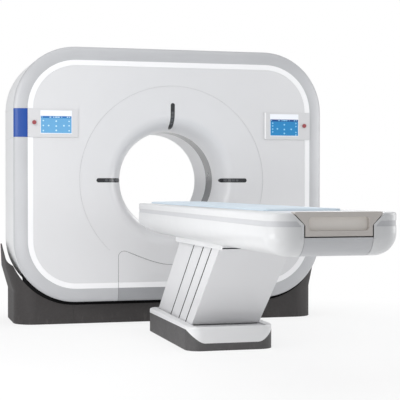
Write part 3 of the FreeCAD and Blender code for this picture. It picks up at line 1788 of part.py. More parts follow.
SHAPED = {
    "front_cover": front_cover_shape,
    "access_panel": access_panel_shape,
    "light_ring": light_ring_shape,
    "front_bezel": front_bezel_shape,
    "lower_bezel": lower_bezel_shape,
    "blue_plate": blue_plate_shape,
    "top_cover": top_cover_shape,
    "side_strips": side_strips_shape,
    "side_cover_left": lambda: side_cover_shape(-1),
    "side_cover_right": lambda: side_cover_shape(1),
    "rear_cover": rear_cover_shape,
    "laser_windows": laser_windows_shape,
    "base_cover_left": lambda: base_cover_shape("left"),
    "base_cover_right": lambda: base_cover_shape("right"),
    "base_cover_front": lambda: base_cover_shape("front"),
    "base_cover_rear": lambda: base_cover_shape("rear"),
    "base_gasket": base_gasket_shape,
    "stator_frame": stator_frame_shape,
    "detector_arc": detector_arc_shape,
    "drive_belt": drive_belt_shape,
    "plinth_cover": plinth_cover_shape,
    "plinth_shell": plinth_shell_shape,
    "table_body": table_body_shape,
    "table_end_cover": table_end_cover_shape,
    "side_trim": side_trim_shape,
    "top_deck": top_deck_shape,
    "cradle_handle": cradle_handle_shape,
    "grip_insert": grip_insert_shape,
    "mattress": mattress_shape,
}


def build():
    parts = [solid(name, shape()) for name, shape in SHAPED.items()]
    for word, side in (("left", -1), ("right", 1)):
        parts.append(make_control_panel(word, side))
        parts.append(make_stop_button(word, side))
    parts += [
        make_base_frame(),
        make_bearing_outer(),
        make_bearing_inner(),
        make_rotor_drum(),
        make_x_ray_tube(),
        make_collimator(),
        rotor_module("tube_cooler", 135, mm("cooler_length"), 7),
        rotor_module("hv_generator", 45, mm("generator_length"), 0),
        rotor_module("rotor_power_unit", 180, mm("power_unit_length"), 0),
        make_touch_screens(),
        make_slip_ring(),
        make_brush_block(),
        make_motor(),
        make_motor_pulley(),
        make_window_ring(),
        make_bore_liner(),
        make_table_base_frame(),
        make_front_arm(),
        make_rear_arm(),
        make_lift_actuator(),
        make_carriage_frame(),
        make_cradle_drive(),
        make_cradle(),
    ]
    parts += [make_arm_cover(number) for number in (1, 2, 3, 4)]
    doc.recompute()
    return parts


def export(parts):
    """Checks every object and sub-part, and only then writes the STEP files."""
    faults = [t.Name for t in doc.Objects if "Invalid" in t.State or "Error" in t.State]
    for part in parts:
        if part.Shape.isNull() or not part.Shape.isValid() or not part.Shape.Solids:
            faults.append(part.Label)
    if faults:
        raise RuntimeError("failed: " + ", ".join(faults))
    for part in parts:
        part.Shape.exportStep(f"parts/{part.Label}.step")
    print(len(parts), "parts written")


export(build())
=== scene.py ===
import json
import math

import bmesh
import bpy
from mathutils import Matrix, Vector
from mathutils.bvhtree import BVHTree


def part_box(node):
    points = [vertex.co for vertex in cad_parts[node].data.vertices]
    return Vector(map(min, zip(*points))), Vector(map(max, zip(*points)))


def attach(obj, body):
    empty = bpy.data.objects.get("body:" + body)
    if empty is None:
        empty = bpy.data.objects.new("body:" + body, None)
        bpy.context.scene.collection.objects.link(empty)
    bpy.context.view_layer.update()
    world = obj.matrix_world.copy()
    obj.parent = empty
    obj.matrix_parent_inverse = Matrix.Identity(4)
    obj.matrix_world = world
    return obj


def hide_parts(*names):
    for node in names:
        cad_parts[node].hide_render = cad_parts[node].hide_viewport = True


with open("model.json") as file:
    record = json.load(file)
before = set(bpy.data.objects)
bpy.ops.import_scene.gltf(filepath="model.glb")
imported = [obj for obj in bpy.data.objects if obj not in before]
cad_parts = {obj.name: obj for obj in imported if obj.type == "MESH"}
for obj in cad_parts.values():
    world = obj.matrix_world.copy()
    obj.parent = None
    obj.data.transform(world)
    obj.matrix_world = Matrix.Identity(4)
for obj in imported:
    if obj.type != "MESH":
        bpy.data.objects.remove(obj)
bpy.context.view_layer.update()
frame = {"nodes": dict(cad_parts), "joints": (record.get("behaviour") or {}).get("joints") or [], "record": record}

ROOT = "gantry_and_bases"
pivots = {joint["child"]: joint["pos_m"] for joint in frame["joints"] if "pos_m" in joint}
BORE_HEIGHT = pivots["rotor"][2]


# ---- camera, at the place and angle that the photograph was taken from ---------------------------

CAMERA_PLACE = (-2.0297, -8.6001, 1.0001)
CAMERA_YAW = math.radians(15.092)
CAMERA_DIP = math.radians(0.728)
CAMERA_LENS, CAMERA_SENSOR = 105.22, 36.0
CAMERA_REACH = 60


def add_camera():
    data = bpy.data.cameras.new("camera")
    data.lens = CAMERA_LENS
    data.sensor_width = CAMERA_SENSOR
    data.clip_end = CAMERA_REACH
    camera = bpy.data.objects.new("camera", data)
    camera.location = CAMERA_PLACE
    camera.rotation_euler = (math.pi / 2 - CAMERA_DIP, 0, -CAMERA_YAW)
    bpy.context.scene.collection.objects.link(camera)
    bpy.context.scene.camera = camera


# ---- materials -----------------------------------------------------------------------------------

COAT_ROUGHNESS = 0.12
MIX_SHARE, MIX_FIRST, MIX_SECOND, MIX_RESULT = 0, 6, 7, 2  # the Mix node's colour sockets


def add_node(tree, kind, **inputs):
    """A new node, with the sockets named here set: From_Min stands for From Min."""
    made = tree.nodes.new(kind)
    for word, value in inputs.items():
        made.inputs[word.replace("_", " ")].default_value = value
    return made


def combine(tree, operation, first, second):
    """The result of a Math node that two sockets lead into."""
    made = tree.nodes.new("ShaderNodeMath")
    made.operation = operation
    tree.links.new(first, made.inputs[0])
    tree.links.new(second, made.inputs[1])
    return made.outputs[0]


class Finish:
    """One procedural material. Its patterns are read from the object's own coordinates."""

    def __init__(self, name, colour, rough, metal=0.0, coat=0.0):
        self.name = name
        self.material = bpy.data.materials.new(name)
        self.material.use_nodes = True
        self.material.diffuse_color = (*colour, 1)
        self.tree = self.material.node_tree
        self.shader = self.tree.nodes["Principled BSDF"]
        self.place = add_node(self.tree, "ShaderNodeTexCoord").outputs["Object"]
        self.colour = colour
        self.rough = rough
        self.tone = None
        self.normal = None
        self.put("Base Color", (*colour, 1))
        self.put("Roughness", rough)
        self.put("Metallic", metal)
        self.put("Coat Weight", coat)
        self.put("Coat Roughness", COAT_ROUGHNESS)

    def join(self, start, end):
        self.tree.links.new(start, end)

    def put(self, socket, value):
        self.shader.inputs[socket].default_value = value

    def noise(self, scale, detail, stretch=None, rough=0.5):
        made = add_node(
            self.tree, "ShaderNodeTexNoise", Scale=scale, Detail=detail, Roughness=rough
        )
        source = self.place
        if stretch:
            mapping = add_node(self.tree, "ShaderNodeMapping", Scale=stretch)
            self.join(self.place, mapping.inputs["Vector"])
            source = mapping.outputs["Vector"]
        self.join(source, made.inputs["Vector"])
        return made.outputs["Fac"]

    def spread(self, value, low, high, start=0.3, end=0.7):
        """Turns a value between start and end into one between low and high."""
        made = add_node(
            self.tree, "ShaderNodeMapRange", From_Min=start, From_Max=end, To_Min=low, To_Max=high
        )
        self.join(value, made.inputs["Value"])
        return made.outputs["Result"]

    def blend_tone(self, share, first, second):
        """Mixes two colours, each a socket or a plain colour, as the new base colour."""
        made = self.tree.nodes.new("ShaderNodeMix")
        made.data_type = "RGBA"
        for index, value in ((MIX_FIRST, first), (MIX_SECOND, second)):
            if isinstance(value, tuple):
                made.inputs[index].default_value = (*value, 1)
            else:
                self.join(value, made.inputs[index])
        self.join(share, made.inputs[MIX_SHARE])
        self.tone = made.outputs[MIX_RESULT]
        self.join(self.tone, self.shader.inputs["Base Color"])

    def mottle(self, scale, amount, stretch=None):
        """A slow drift of the colour between a darker and a lighter shade."""
        share = self.spread(self.noise(scale, 3.0, stretch), 0, 1)
        dark = tuple(part * (1 - amount) for part in self.colour)
        light = tuple(min(1, part * (1 + amount)) for part in self.colour)
        self.blend_tone(share, dark, light)
        return self

    def polish(self, scale, amount, stretch=None):
        """Roughness that drifts round its middle value."""
        drift = self.noise(scale, 3.0, stretch)
        rough = self.spread(drift, self.rough - amount, self.rough + amount)
        self.join(rough, self.shader.inputs["Roughness"])
        return self

    def grain(self, scale, height, detail=2.0, stretch=None):
        """A fine relief in the surface, its height in metres."""
        bump = add_node(self.tree, "ShaderNodeBump", Strength=1.0, Distance=height)
        self.join(self.noise(scale, detail, stretch), bump.inputs["Height"])
        if self.normal:
            self.join(self.normal, bump.inputs["Normal"])
        self.normal = bump.outputs["Normal"]
        self.join(self.normal, self.shader.inputs["Normal"])
        return self

    def scuff(self, top, shade, amount):
        """Rubbed marks that grow from a height down to the floor, over the mottled colour."""
        split = add_node(self.tree, "ShaderNodeSeparateXYZ")
        self.join(self.place, split.inputs[0])
        near = self.spread(split.outputs["Z"], amount, 0, 0, top)
        marks = self.spread(self.noise(38, 5.0, (1, 1, 0.35), 0.7), 0, 1, 0.52, 0.7)
        self.blend_tone(combine(self.tree, "MULTIPLY", near, marks), self.tone, shade)
        return self

    def glow(self, colour, strength):
        self.put("Emission Color", (*colour, 1))
        self.put("Emission Strength", strength)
        return self


def moulded(name, colour, rough=0.36, coat=0.15):
    """Painted or moulded cover: a faint orange peel and a slow drift of tone."""
    finish = Finish(name, colour, rough, coat=coat)
    finish.mottle(scale=2.3, amount=0.012).polish(scale=9, amount=0.04)
    return finish.grain(scale=520, height=0.00003).grain(scale=3.1, height=0.0006, detail=1)


def satin(name, colour, metal):
    """The metallic paint of the band round the gantry's face."""
    finish = Finish(name, colour, 0.46, metal, coat=0.05)
    finish.mottle(scale=3, amount=0.03).polish(scale=400, amount=0.06)
    return finish.grain(scale=1400, height=0.00002, detail=1)


def powder(name, colour, rough=0.55):
    """Powder-coated steel with its fine pebbled skin."""
    finish = Finish(name, colour, rough)
    finish.mottle(scale=6, amount=0.05).polish(scale=60, amount=0.06)
    return finish.grain(scale=900, height=0.00012, detail=3)


def rubber(name, colour):
    """Dull rubber, with hardly any shine of its own."""
    finish = Finish(name, colour, 0.85)
    finish.put("Specular IOR Level", 0.12)
    finish.mottle(scale=18, amount=0.1).polish(scale=90, amount=0.05)
    return finish.grain(scale=800, height=0.00006)


def machined(name, colour, rough, stretch):
    """Bare metal, with turning marks drawn out by the stretch."""
    finish = Finish(name, colour, rough, metal=1.0)
    finish.mottle(14, 0.06, stretch).polish(120, 0.08, stretch)
    return finish.grain(scale=700, height=0.00002, stretch=stretch)


def coated_cloth(name, colour):
    """The mattress's wipe-clean cover: a fine weave over soft unevenness, and a little sheen."""
    finish = Finish(name, colour, 0.6)
    finish.put("Sheen Weight", 0.15)
    finish.mottle(scale=5, amount=0.03).polish(scale=30, amount=0.05)
    return finish.grain(scale=1500, height=0.00008, detail=3).grain(scale=14, height=0.0008)


def make_finishes():
    """Every finish under its name. Those up to plinth_dark are the record's material slots."""
    pale_scuffs, dark_scuffs = (0.18, 0.17, 0.168), (0.13, 0.12, 0.118)
    made = [
        moulded("cover_white", (0.74, 0.74, 0.75)),
        moulded("side_white", (0.84, 0.845, 0.85), 0.46, 0.03),
        # a faint white glow; on the right control panel's strip it is a painted highlight
        moulded("ring_white", (0.90, 0.90, 0.91), 0.4).glow((1, 1, 1), 0.05),
        satin("band_silver", (0.54, 0.545, 0.56), 0.12),
        satin("band_grey", (0.38, 0.385, 0.40), 0.15),
        powder("base_grey", (0.042, 0.038, 0.0375), 0.65).scuff(0.09, dark_scuffs, 0.4),
        rubber("seal_black", (0.006, 0.006, 0.0065)),
        moulded("plate_blue", (0.008, 0.068, 0.34), 0.34, 0.1),
        moulded("panel_grey", (0.70, 0.70, 0.71), 0.34, 0.15),
        moulded("screen_blue", (0.84, 0.86, 0.90), 0.12, 0.5).glow((0.9, 0.93, 1), 0.15),
        moulded("button_red", (0.36, 0.075, 0.085), 0.35, 0.2),
        moulded("slot_grey", (0.026, 0.027, 0.030), 0.25, 0.2),
        moulded("window_clear", (0.15, 0.152, 0.16), 0.3, 0.2),
        moulded("liner_white", (0.84, 0.84, 0.85), 0.4, 0.1),
        powder("frame_steel", (0.15, 0.16, 0.18)),
        powder("cast_frame", (0.12, 0.13, 0.15), 0.65),
        machined("bearing_steel", (0.55, 0.56, 0.58), 0.25, (1, 40, 1)),
        machined("drum_alloy", (0.62, 0.63, 0.65), 0.38, (1, 30, 1)),
        powder("module_grey", (0.22, 0.23, 0.26), 0.5),
        machined("brass_rings", (0.66, 0.48, 0.2), 0.3, (1, 40, 1)),
        powder("belt_black", (0.012, 0.012, 0.012), 0.75),
        moulded("table_white", (0.74, 0.745, 0.75), 0.34, 0.2),
        moulded("trim_grey", (0.60, 0.605, 0.62), 0.46, 0.05),
        moulded("end_grey", (0.60, 0.605, 0.62), 0.42, 0.1),
        moulded("cradle_white", (0.76, 0.78, 0.81), 0.36, 0.2),
        moulded("handle_beige", (0.64, 0.60, 0.565), 0.48, 0.05),
        moulded("grip_cream", (0.92, 0.88, 0.83), 0.5, 0.05),
        coated_cloth("mattress_blue", (0.68, 0.79, 0.88)),
        moulded("arm_white", (0.75, 0.75, 0.76), 0.42, 0.1),
        moulded("plinth_pale", (0.77, 0.77, 0.775), 0.42, 0.1),
        powder("plinth_dark", (0.085, 0.082, 0.083), 0.62).scuff(0.05, pale_scuffs, 0.4),
        # painted shade: the dark grey of the line in the access panel's seam
        rubber("seam_grey", (0.16, 0.16, 0.165)),
        # painted shadow: the grey of the line at the dish's edge
        rubber("faint_grey", (0.48, 0.48, 0.49)),
        moulded("lamp_grey", (0.085, 0.088, 0.095), 0.2, 0.3),
    ]
    return {finish.name: finish for finish in made}


finishes = make_finishes()


def dress(thing, slot):
    """Gives a piece one finish all over."""
    thing.data.materials.clear()
    thing.data.materials.append(finishes[slot].material)


for part in frame["record"]["subparts"]:
    dress(frame["nodes"][part["node"]], part["material_slot"])


# ---- the studio ----------------------------------------------------------------------------------

WHITE = (1, 1, 1, 1)
FLOOR_COLOUR = (0.9, 0.9, 0.9, 1)
FLOOR_HALF = 40
FLOOR_MIDDLE = (0, -1.4, 0)
FLOOR_NEAR, FLOOR_FAR = 1.7, 3.0  # where the shadows start to fade, and where they are gone
FLOOR_SHARE = 0.78  # of plain white in what the camera sees of the near floor
WORLD_COLOUR, WORLD_STRENGTH = (0.97, 0.98, 1, 1), 0.5

LAMPS = (
    # name, place, the point that it faces, width and height, watts
    ("overhead", (-0.6, -1.8, 5.2), (0, -1.2, 0), (5, 5), 62),
    ("key", (-4.0, -3.0, 2.4), (0, -0.5, 0.9), (2.8, 2.4), 80),
    ("right_fill", (4.4, -2.0, 1.7), (0, -0.2, 1.0), (2.4, 2.4), 60),
    ("rear_fill", (2.5, 6.0, 4.0), (0, 0.5, 1.0), (4, 3), 110),
    ("low_fill", (-2.2, -3.3, 0.35), (0.2, -0.3, 1.2), (1.4, 0.6), 13),
)


def lead_out(tree, output, share, first, second):
    """Leads two shaders to the output, the second of them by its share."""
    blend = tree.nodes.new("ShaderNodeMixShader")
    tree.links.new(share, blend.inputs[0])
    tree.links.new(first.outputs[0], blend.inputs[1])
    tree.links.new(second.outputs[0], blend.inputs[2])
    tree.links.new(blend.outputs[0], tree.nodes.new(output).inputs["Surface"])


def floor_material():
    """Holds the object's shadow near it, and is plain white to the camera further off."""
    material = bpy.data.materials.new("studio_floor")
    material.use_nodes = True
    tree = material.node_tree
    tree.nodes.clear()
    lit = add_node(tree, "ShaderNodeBsdfDiffuse", Color=FLOOR_COLOUR)
    white = add_node(tree, "ShaderNodeEmission", Color=WHITE)
    path = add_node(tree, "ShaderNodeLightPath")
    rays = combine(tree, "MAXIMUM", path.outputs["Is Camera Ray"], path.outputs["Is Glossy Ray"])
    away = add_node(tree, "ShaderNodeVectorMath")
    away.operation = "DISTANCE"
    away.inputs[1].default_value = FLOOR_MIDDLE
    tree.links.new(add_node(tree, "ShaderNodeTexCoord").outputs["Object"], away.inputs[0])
    fade = add_node(
        tree, "ShaderNodeMapRange",
        From_Min=FLOOR_NEAR, From_Max=FLOOR_FAR, To_Min=FLOOR_SHARE, To_Max=1,
    )
    tree.links.new(away.outputs["Value"], fade.inputs["Value"])
    share = combine(tree, "MULTIPLY", rays, fade.outputs["Result"])
    lead_out(tree, "ShaderNodeOutputMaterial", share, lit, white)
    return material


def add_floor():
    mesh = bmesh.new()
    bmesh.ops.create_grid(mesh, x_segments=1, y_segments=1, size=FLOOR_HALF)
    data = bpy.data.meshes.new("floor")
    mesh.to_mesh(data)
    mesh.free()
    data.materials.append(floor_material())
    floor = bpy.data.objects.new("floor", data)
    bpy.context.scene.collection.objects.link(floor)


def add_world():
    """A dim sky for the light, which the camera sees as plain white."""
    world = bpy.data.worlds.new("studio")
    bpy.context.scene.world = world
    world.use_nodes = True
    tree = world.node_tree
    tree.nodes.clear()
    dim = add_node(tree, "ShaderNodeBackground", Color=WORLD_COLOUR, Strength=WORLD_STRENGTH)
    white = add_node(tree, "ShaderNodeBackground", Color=WHITE, Strength=1.0)
    path = add_node(tree, "ShaderNodeLightPath")
    lead_out(tree, "ShaderNodeOutputWorld", path.outputs["Is Camera Ray"], dim, white)


def add_lamp(name, place, aim, size, power):
    data = bpy.data.lights.new(name, "AREA")
    data.shape = "RECTANGLE"
    data.size, data.size_y = size
    data.energy = power
    lamp = bpy.data.objects.new(name, data)
    lamp.location = place
    lamp.rotation_euler = (Vector(aim) - Vector(place)).to_track_quat("-Z", "Y").to_euler()
    bpy.context.scene.collection.objects.link(lamp)


def add_studio():
    add_floor()
    add_world()
    for lamp in LAMPS:
        add_lamp(*lamp)
    bpy.context.scene.view_settings.view_transform = "Standard"


# ---- making pieces -------------------------------------------------------------------------------

DOT_SIDES, CORNER_CUTS = 14, 3


def piece(name, mesh, body, slot, smooth=False):
    data = bpy.data.meshes.new(name)
    mesh.to_mesh(data)
    mesh.free()
    made = bpy.data.objects.new(name, data)
    bpy.context.scene.collection.objects.link(made)
    if smooth:
        data.shade_smooth()
    dress(made, slot)
    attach(made, body)
    return made


def gather(name, meshes, body, slot):
    """Several small forms as one piece."""
    whole = bmesh.new()
    for mesh in meshes:
        data = bpy.data.meshes.new("passing")
        mesh.to_mesh(data)
        mesh.free()
        whole.from_mesh(data)
        bpy.data.meshes.remove(data)
    return piece(name, whole, body, slot)


def block(size, middle):
    mesh = bmesh.new()
    bmesh.ops.create_cube(mesh, size=1)
    bmesh.ops.scale(mesh, vec=size, verts=mesh.verts)
    bmesh.ops.translate(mesh, vec=middle, verts=mesh.verts)
    return mesh


def rounded_plate(low, high, front, thick, corner=0):
    """An upright plate facing the table, with its front at the given Y and any round corners."""
    (x0, z0), (x1, z1) = low, high
    middle = ((x0 + x1) / 2, front + thick / 2, (z0 + z1) / 2)
    mesh = block((x1 - x0, thick, z1 - z0), middle)
    if corner:
        along = [e for e in mesh.edges if abs((e.verts[0].co - e.verts[1].co).y) > thick / 2]
        bmesh.ops.bevel(
            mesh, geom=along, offset=corner, segments=CORNER_CUTS, profile=0.5,
            affect="EDGES", material=-1,
        )
    return mesh


def disc(x, z, radius, front, thick):
    """A round plate facing the table, with its front at the given Y."""
    mesh = bmesh.new()
    bmesh.ops.create_cone(
        mesh, cap_ends=True, segments=DOT_SIDES, radius1=radius, radius2=radius, depth=thick
    )
    turn = Matrix.Rotation(math.pi / 2, 3, "X")
    bmesh.ops.rotate(mesh, cent=(0, 0, 0), matrix=turn, verts=mesh.verts)
    bmesh.ops.translate(mesh, vec=(x, front + thick / 2, z), verts=mesh.verts)
    return mesh


def thicken(mesh, faces, way):
    """Extrudes faces one way, with a wall round them, and gives the points that moved."""
    made = bmesh.ops.extrude_face_region(mesh, geom=faces)
    moved = [item for item in made["geom"] if isinstance(item, bmesh.types.BMVert)]
    bmesh.ops.translate(mesh, vec=way, verts=moved)
    bmesh.ops.recalc_face_normals(mesh, faces=mesh.faces[:])
    return moved


def steps(start, end, count):
    return [start + (end - start) * index / count for index in range(count + 1)]


# ---- the screens ---------------------------------------------------------------------------------

SCREEN_INNER = 0.742  # the edge nearest the bore
SCREEN_RIM = 0.003
HEADER_TOP, HEADER_FOOT, FIELD_FOOT = 1.490, 1.4745, 1.3695
PRINT_DEPTH = 0.0003
GLASS_SHARE, SCREEN_GLOW = 0.4, 0.65
TONES = {
    # the header, the field under it and the marks on both
    "left": ((0.033, 0.195, 0.52), (0.15, 0.42, 0.72), (0.55, 0.80, 0.95)),
    "right": ((0.010, 0.065, 0.26), (0.022, 0.235, 0.53), (0.27, 0.62, 0.85)),
}
EDGE_COLUMNS = (0.08, 0.92)
EDGE_ICON, ICON = 0.0052, 0.0062
ICONS = {
    # plain dots on the field, as shares of its width and of its height from the top
    "left": (
        (0.08, 0.17), (0.08, 0.5), (0.08, 0.84), (0.253, 0.5), (0.5, 0.2), (0.5, 0.53),
        (0.5, 0.82), (0.75, 0.5), (0.92, 0.2), (0.92, 0.5), (0.92, 0.84),
    ),
    "right": (
        (0.08, 0.12), (0.08, 0.32), (0.08, 0.54), (0.08, 0.74), (0.25, 0.52), (0.5, 0.22),
        (0.5, 0.56), (0.5, 0.84), (0.75, 0.54), (0.92, 0.12), (0.92, 0.34), (0.92, 0.76),
        (0.92, 0.94),
    ),
}
BAR_HALF_HEIGHT, BAR_CORNER = 0.0032, 0.0025
BARS = (
    # plain bars on the header: the share of its width, and half the bar's length
    (0.04, 0.004), (0.31, 0.007), (0.42, 0.005), (0.5, 0.009), (0.58, 0.008), (0.68, 0.003),
    (0.87, 0.006), (0.94, 0.004),
)


def screen_marks(side, x0, x1, front):
    """The dots and bars on one screen."""
    width, height = x1 - x0, HEADER_FOOT - FIELD_FOOT
    marks = []
    for across, down in ICONS[side]:
        radius = EDGE_ICON if across in EDGE_COLUMNS else ICON
        x, z = x0 + across * width, HEADER_FOOT - down * height
        marks.append(disc(x, z, radius, front, PRINT_DEPTH))
    z = (HEADER_FOOT + HEADER_TOP) / 2
    for across, half in BARS:
        x = x0 + across * width
        low, high = (x - half, z - BAR_HALF_HEIGHT), (x + half, z + BAR_HALF_HEIGHT)
        marks.append(rounded_plate(low, high, front, PRINT_DEPTH, BAR_CORNER))
    return marks


def add_screen(side, inner, outer, glass):
    """The lit header, field and marks on one screen, whose glass is at the given Y."""
    for word, tone in zip(("header", "field", "icon"), TONES[side]):
        name = f"{side}_{word}"
        dark = tuple(shade * GLASS_SHARE for shade in tone)
        finishes[name] = Finish(name, dark, 0.15, coat=0.3).mottle(30, 0.04).glow(tone, SCREEN_GLOW)
    x0, x1 = min(inner, outer) + SCREEN_RIM, max(inner, outer) - SCREEN_RIM
    front = glass - PRINT_DEPTH
    header = rounded_plate((x0, HEADER_FOOT), (x1, HEADER_TOP), front, PRINT_DEPTH)
    field = rounded_plate((x0, FIELD_FOOT), (x1, HEADER_FOOT), front, PRINT_DEPTH)
    marks = screen_marks(side, x0, x1, front - PRINT_DEPTH)
    piece(f"screen_{side}_header", header, ROOT, f"{side}_header")
    piece(f"screen_{side}_field", field, ROOT, f"{side}_field")
    gather(f"screen_{side}_marks", marks, ROOT, f"{side}_icon")


def add_screens():
    low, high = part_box("touch_screens")
    add_screen("left", -SCREEN_INNER, low.x, low.y)
    add_screen("right", SCREEN_INNER, high.x, low.y)


# ---- seams on the gantry's face ------------------------------------------------------------------

RAY_START = -1.0  # a Y in front of the gantry's face
BESIDE_SEAM = 0.002

ACCESS_HALF, ACCESS_SHOULDER, ACCESS_DIP, ACCESS_CORNER = 0.405, 0.525, 0.420, 0.042
ACCESS_FOOT = 0.166
DIP_SLOPE = math.radians(24)
DIP_PULL = 0.92 / 3  # how far the dip follows the slope at its shoulders
SEAM_RADIUS, SEAM_SINK = 0.0013, 0.0002
UPRIGHT_STEPS, CORNER_STEPS, DIP_STEPS = 50, 12, 30

DISH_RADIUS, DISH_LINE, DISH_SINK = 0.6868, 0.0007, 0.0001
DISH_START, DISH_END, DISH_STEPS = math.radians(-47), math.radians(227), 200


def surface_of(*nodes):
    """The CAD nodes' faces as one surface that rays can be dropped on."""
    points, faces = [], []
    for node in nodes:
        data = frame["nodes"][node].data
        first = len(points)
        points += [v.co.copy() for v in data.vertices]
        faces += [[first + index for index in polygon.vertices] for polygon in data.polygons]
    return BVHTree.FromPolygons(points, faces)


def front_at(surface, x, z, aside=0.0):
    """The Y of a surface's front at a place, or a little to both sides of it, if a ray hits it."""
    found = []
    for start in (x - aside, x + aside):
        place = surface.ray_cast(Vector((start, RAY_START, z)), Vector((0, 1, 0)))[0]
        if place:
            found.append(place.y)
    return min(found, default=None)


def cordon(name, places, radius, slot):
    """A thin round tube on the gantry, laid through a row of places; both its uses are painted shade lines."""
    data = bpy.data.curves.new(name, "CURVE")
    data.dimensions = "3D"
    data.bevel_depth = radius
    data.bevel_resolution = 2
    data.use_fill_caps = True
    spline = data.splines.new("POLY")
    spline.points.add(len(places) - 1)
    for point, place in zip(spline.points, places):
        point.co = (*place, 1)
    made = bpy.data.objects.new(name, data)
    bpy.context.scene.collection.objects.link(made)
    dress(made, slot)
    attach(made, ROOT)


def bezier(first, second, third, fourth, share):
    """One value of a cubic curve, from its four control values."""
    back = 1 - share
    return (
        back**3 * first
        + 3 * back**2 * share * second
        + 3 * back * share**2 * third
        + share**3 * fourth
    )


def access_panel_edge():
    """The right half of the access panel's edge in X and Z: up the side and down into the dip."""
    corner_x, corner_z = ACCESS_HALF - ACCESS_CORNER, ACCESS_SHOULDER - ACCESS_CORNER
    edge = [(ACCESS_HALF, z) for z in steps(ACCESS_FOOT, corner_z, UPRIGHT_STEPS)]
    for turn in steps(0, math.pi / 2 + DIP_SLOPE, CORNER_STEPS)[1:]:
        x = corner_x + ACCESS_CORNER * math.cos(turn)
        edge.append((x, corner_z + ACCESS_CORNER * math.sin(turn)))
    end_x, end_z = edge[-1]
    pulled = end_z - DIP_PULL * end_x * math.sin(DIP_SLOPE)
    for share in steps(0, 1, DIP_STEPS)[1:]:
        edge.append((end_x * (1 - share), bezier(end_z, pulled, ACCESS_DIP, ACCESS_DIP, share)))
    return edge


def add_panel_seam():
    """Painted shade: a dark grey tube laid along the seam round the lower access panel, where the gap's shadow
    falls.
    """
    surface = surface_of(
        "front_cover", "access_panel", "light_ring", "front_bezel", "lower_bezel"
    )
    half = access_panel_edge()
    line = [(-x, z) for x, z in half] + half[-2::-1]
    found = [(x, front_at(surface, x, z, BESIDE_SEAM), z) for x, z in line]
    places = [(x, y + SEAM_SINK, z) for x, y, z in found if y is not None]
    cordon("access_panel_seal", places, SEAM_RADIUS, "seam_grey")


def add_dish_line():
    """The fine shadow line where the dished ring round the bore starts."""
    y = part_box("front_cover")[0].y + DISH_SINK
    places = []
    for turn in steps(DISH_START, DISH_END, DISH_STEPS):
        x, z = DISH_RADIUS * math.cos(turn), BORE_HEIGHT + DISH_RADIUS * math.sin(turn)
        places.append((x, y, z))
    cordon("dish_edge_line", places, DISH_LINE, "faint_grey")


# ---- the control panel's painted highlight strip and the slots' lenses ---------------------------

HIGHLIGHT_START, HIGHLIGHT_WIDTH, HIGHLIGHT_INSET = 0.0005, 0.011, 0.003
HIGHLIGHT_BACK, HIGHLIGHT_DEPTH, HIGHLIGHT_CORNER = 0.0022, 0.0011, 0.003

LENS_COUNT, LENS_START, LENS_PITCH = 4, 0.412, 0.026  # the first lens's middle, from the bore's
LENS_LENGTH, LENS_WIDTH, LENS_DEPTH = 0.020, 0.017, 0.0008


def add_panel_highlight_strip():
    """A raised strip at the inner end of the right control panel, white and faintly glowing: a painted highlight
    of its bevel.
    """
    low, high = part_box("control_panel_right")
    start = low.x + HIGHLIGHT_START
    strip = rounded_plate(
        (start, low.z + HIGHLIGHT_INSET), (start + HIGHLIGHT_WIDTH, high.z - HIGHLIGHT_INSET),
        low.y + HIGHLIGHT_BACK, HIGHLIGHT_DEPTH, HIGHLIGHT_CORNER,
    )
    piece("control_panel_right_lip", strip, ROOT, "ring_white")


def slot_lens(surface, middle, out, across):
    """One lens that follows the slot's glass, its middle at a distance out from the bore's."""
    mesh = bmesh.new()
    bmesh.ops.create_grid(mesh, x_segments=4, y_segments=2, size=0.5)
    for v in mesh.verts:
        place = out * (middle + v.co.x * LENS_LENGTH) + across * (v.co.y * LENS_WIDTH)
        z = BORE_HEIGHT + place.z
        v.co = (place.x, front_at(surface, place.x, z) - LENS_DEPTH / 2, z)
    thicken(mesh, mesh.faces[:], (0, LENS_DEPTH, 0))
    return mesh


def add_slot_lamps():
    """Small paler lenses, half sunk in the dark glass of the three laser slots."""
    surface = surface_of("laser_windows")
    for name, turn in (("left", math.pi), ("top", math.pi / 2), ("right", 0)):
        out = Vector((math.cos(turn), 0, math.sin(turn)))
        across = Vector((-math.sin(turn), 0, math.cos(turn)))
        middles = [LENS_START + LENS_PITCH * number for number in range(LENS_COUNT)]
        lenses = [slot_lens(surface, middle, out, across) for middle in middles]
        gather(f"slot_lenses_{name}", lenses, ROOT, "lamp_grey")


# ---- the table's painted shade strips ------------------------------------------------------------

ARM_TILT = math.radians(39)
# the covers whose steps get a painted shade strip
COVER_SHADE_STRIPS = (
    # the body, its cover, and how far the cover's rear edge lies behind the arm's middle line
    ("front_arm", "arm_cover_1", 0.047),
    ("cover_2", "arm_cover_2", 0.085),
    ("cover_3", "arm_cover_3", 0.106),
)
SHADE_STRIP_STEP, SHADE_STRIP_WIDTH, SHADE_STRIP_INSET = 0.0002, 0.012, 0.004
COVER_PLATE, SHADE_STRIP_SINK = 0.003, 0.0003

# the painted shade strip at the foot of the column's front
APRON_HALF, APRON_TOP, APRON_FOOT = 0.205, 0.1443, 0.1413
APRON_AHEAD, APRON_STEP, APRON_DEPTH = 0.046, 0.0004, 0.006

# the painted shade blocks in the gap beside the handle
GAP_SHADE_SIZE = (0.0048, 0.006, 0.052)
GAP_SHADE_X, GAP_SHADE_SETBACK, GAP_SHADE_HEIGHT = 0.1702, 0.007, 0.785


def slanted_plate(x0, x1, outline):
    """A plate of one outline in Y and Z, between two X values."""
    mesh = bmesh.new()
    face = mesh.faces.new([mesh.verts.new((x0, y, z)) for y, z in outline])
    thicken(mesh, [face], (x1 - x0, 0, 0))
    return mesh


def beside_arm(body, behind, z):
    """The Y at a height on a line along a tilted arm or cover, the given distance behind it."""
    _, pivot_y, pivot_z = pivots[body]
    return pivot_y - (z - pivot_z) / math.tan(ARM_TILT) + behind / math.sin(ARM_TILT)


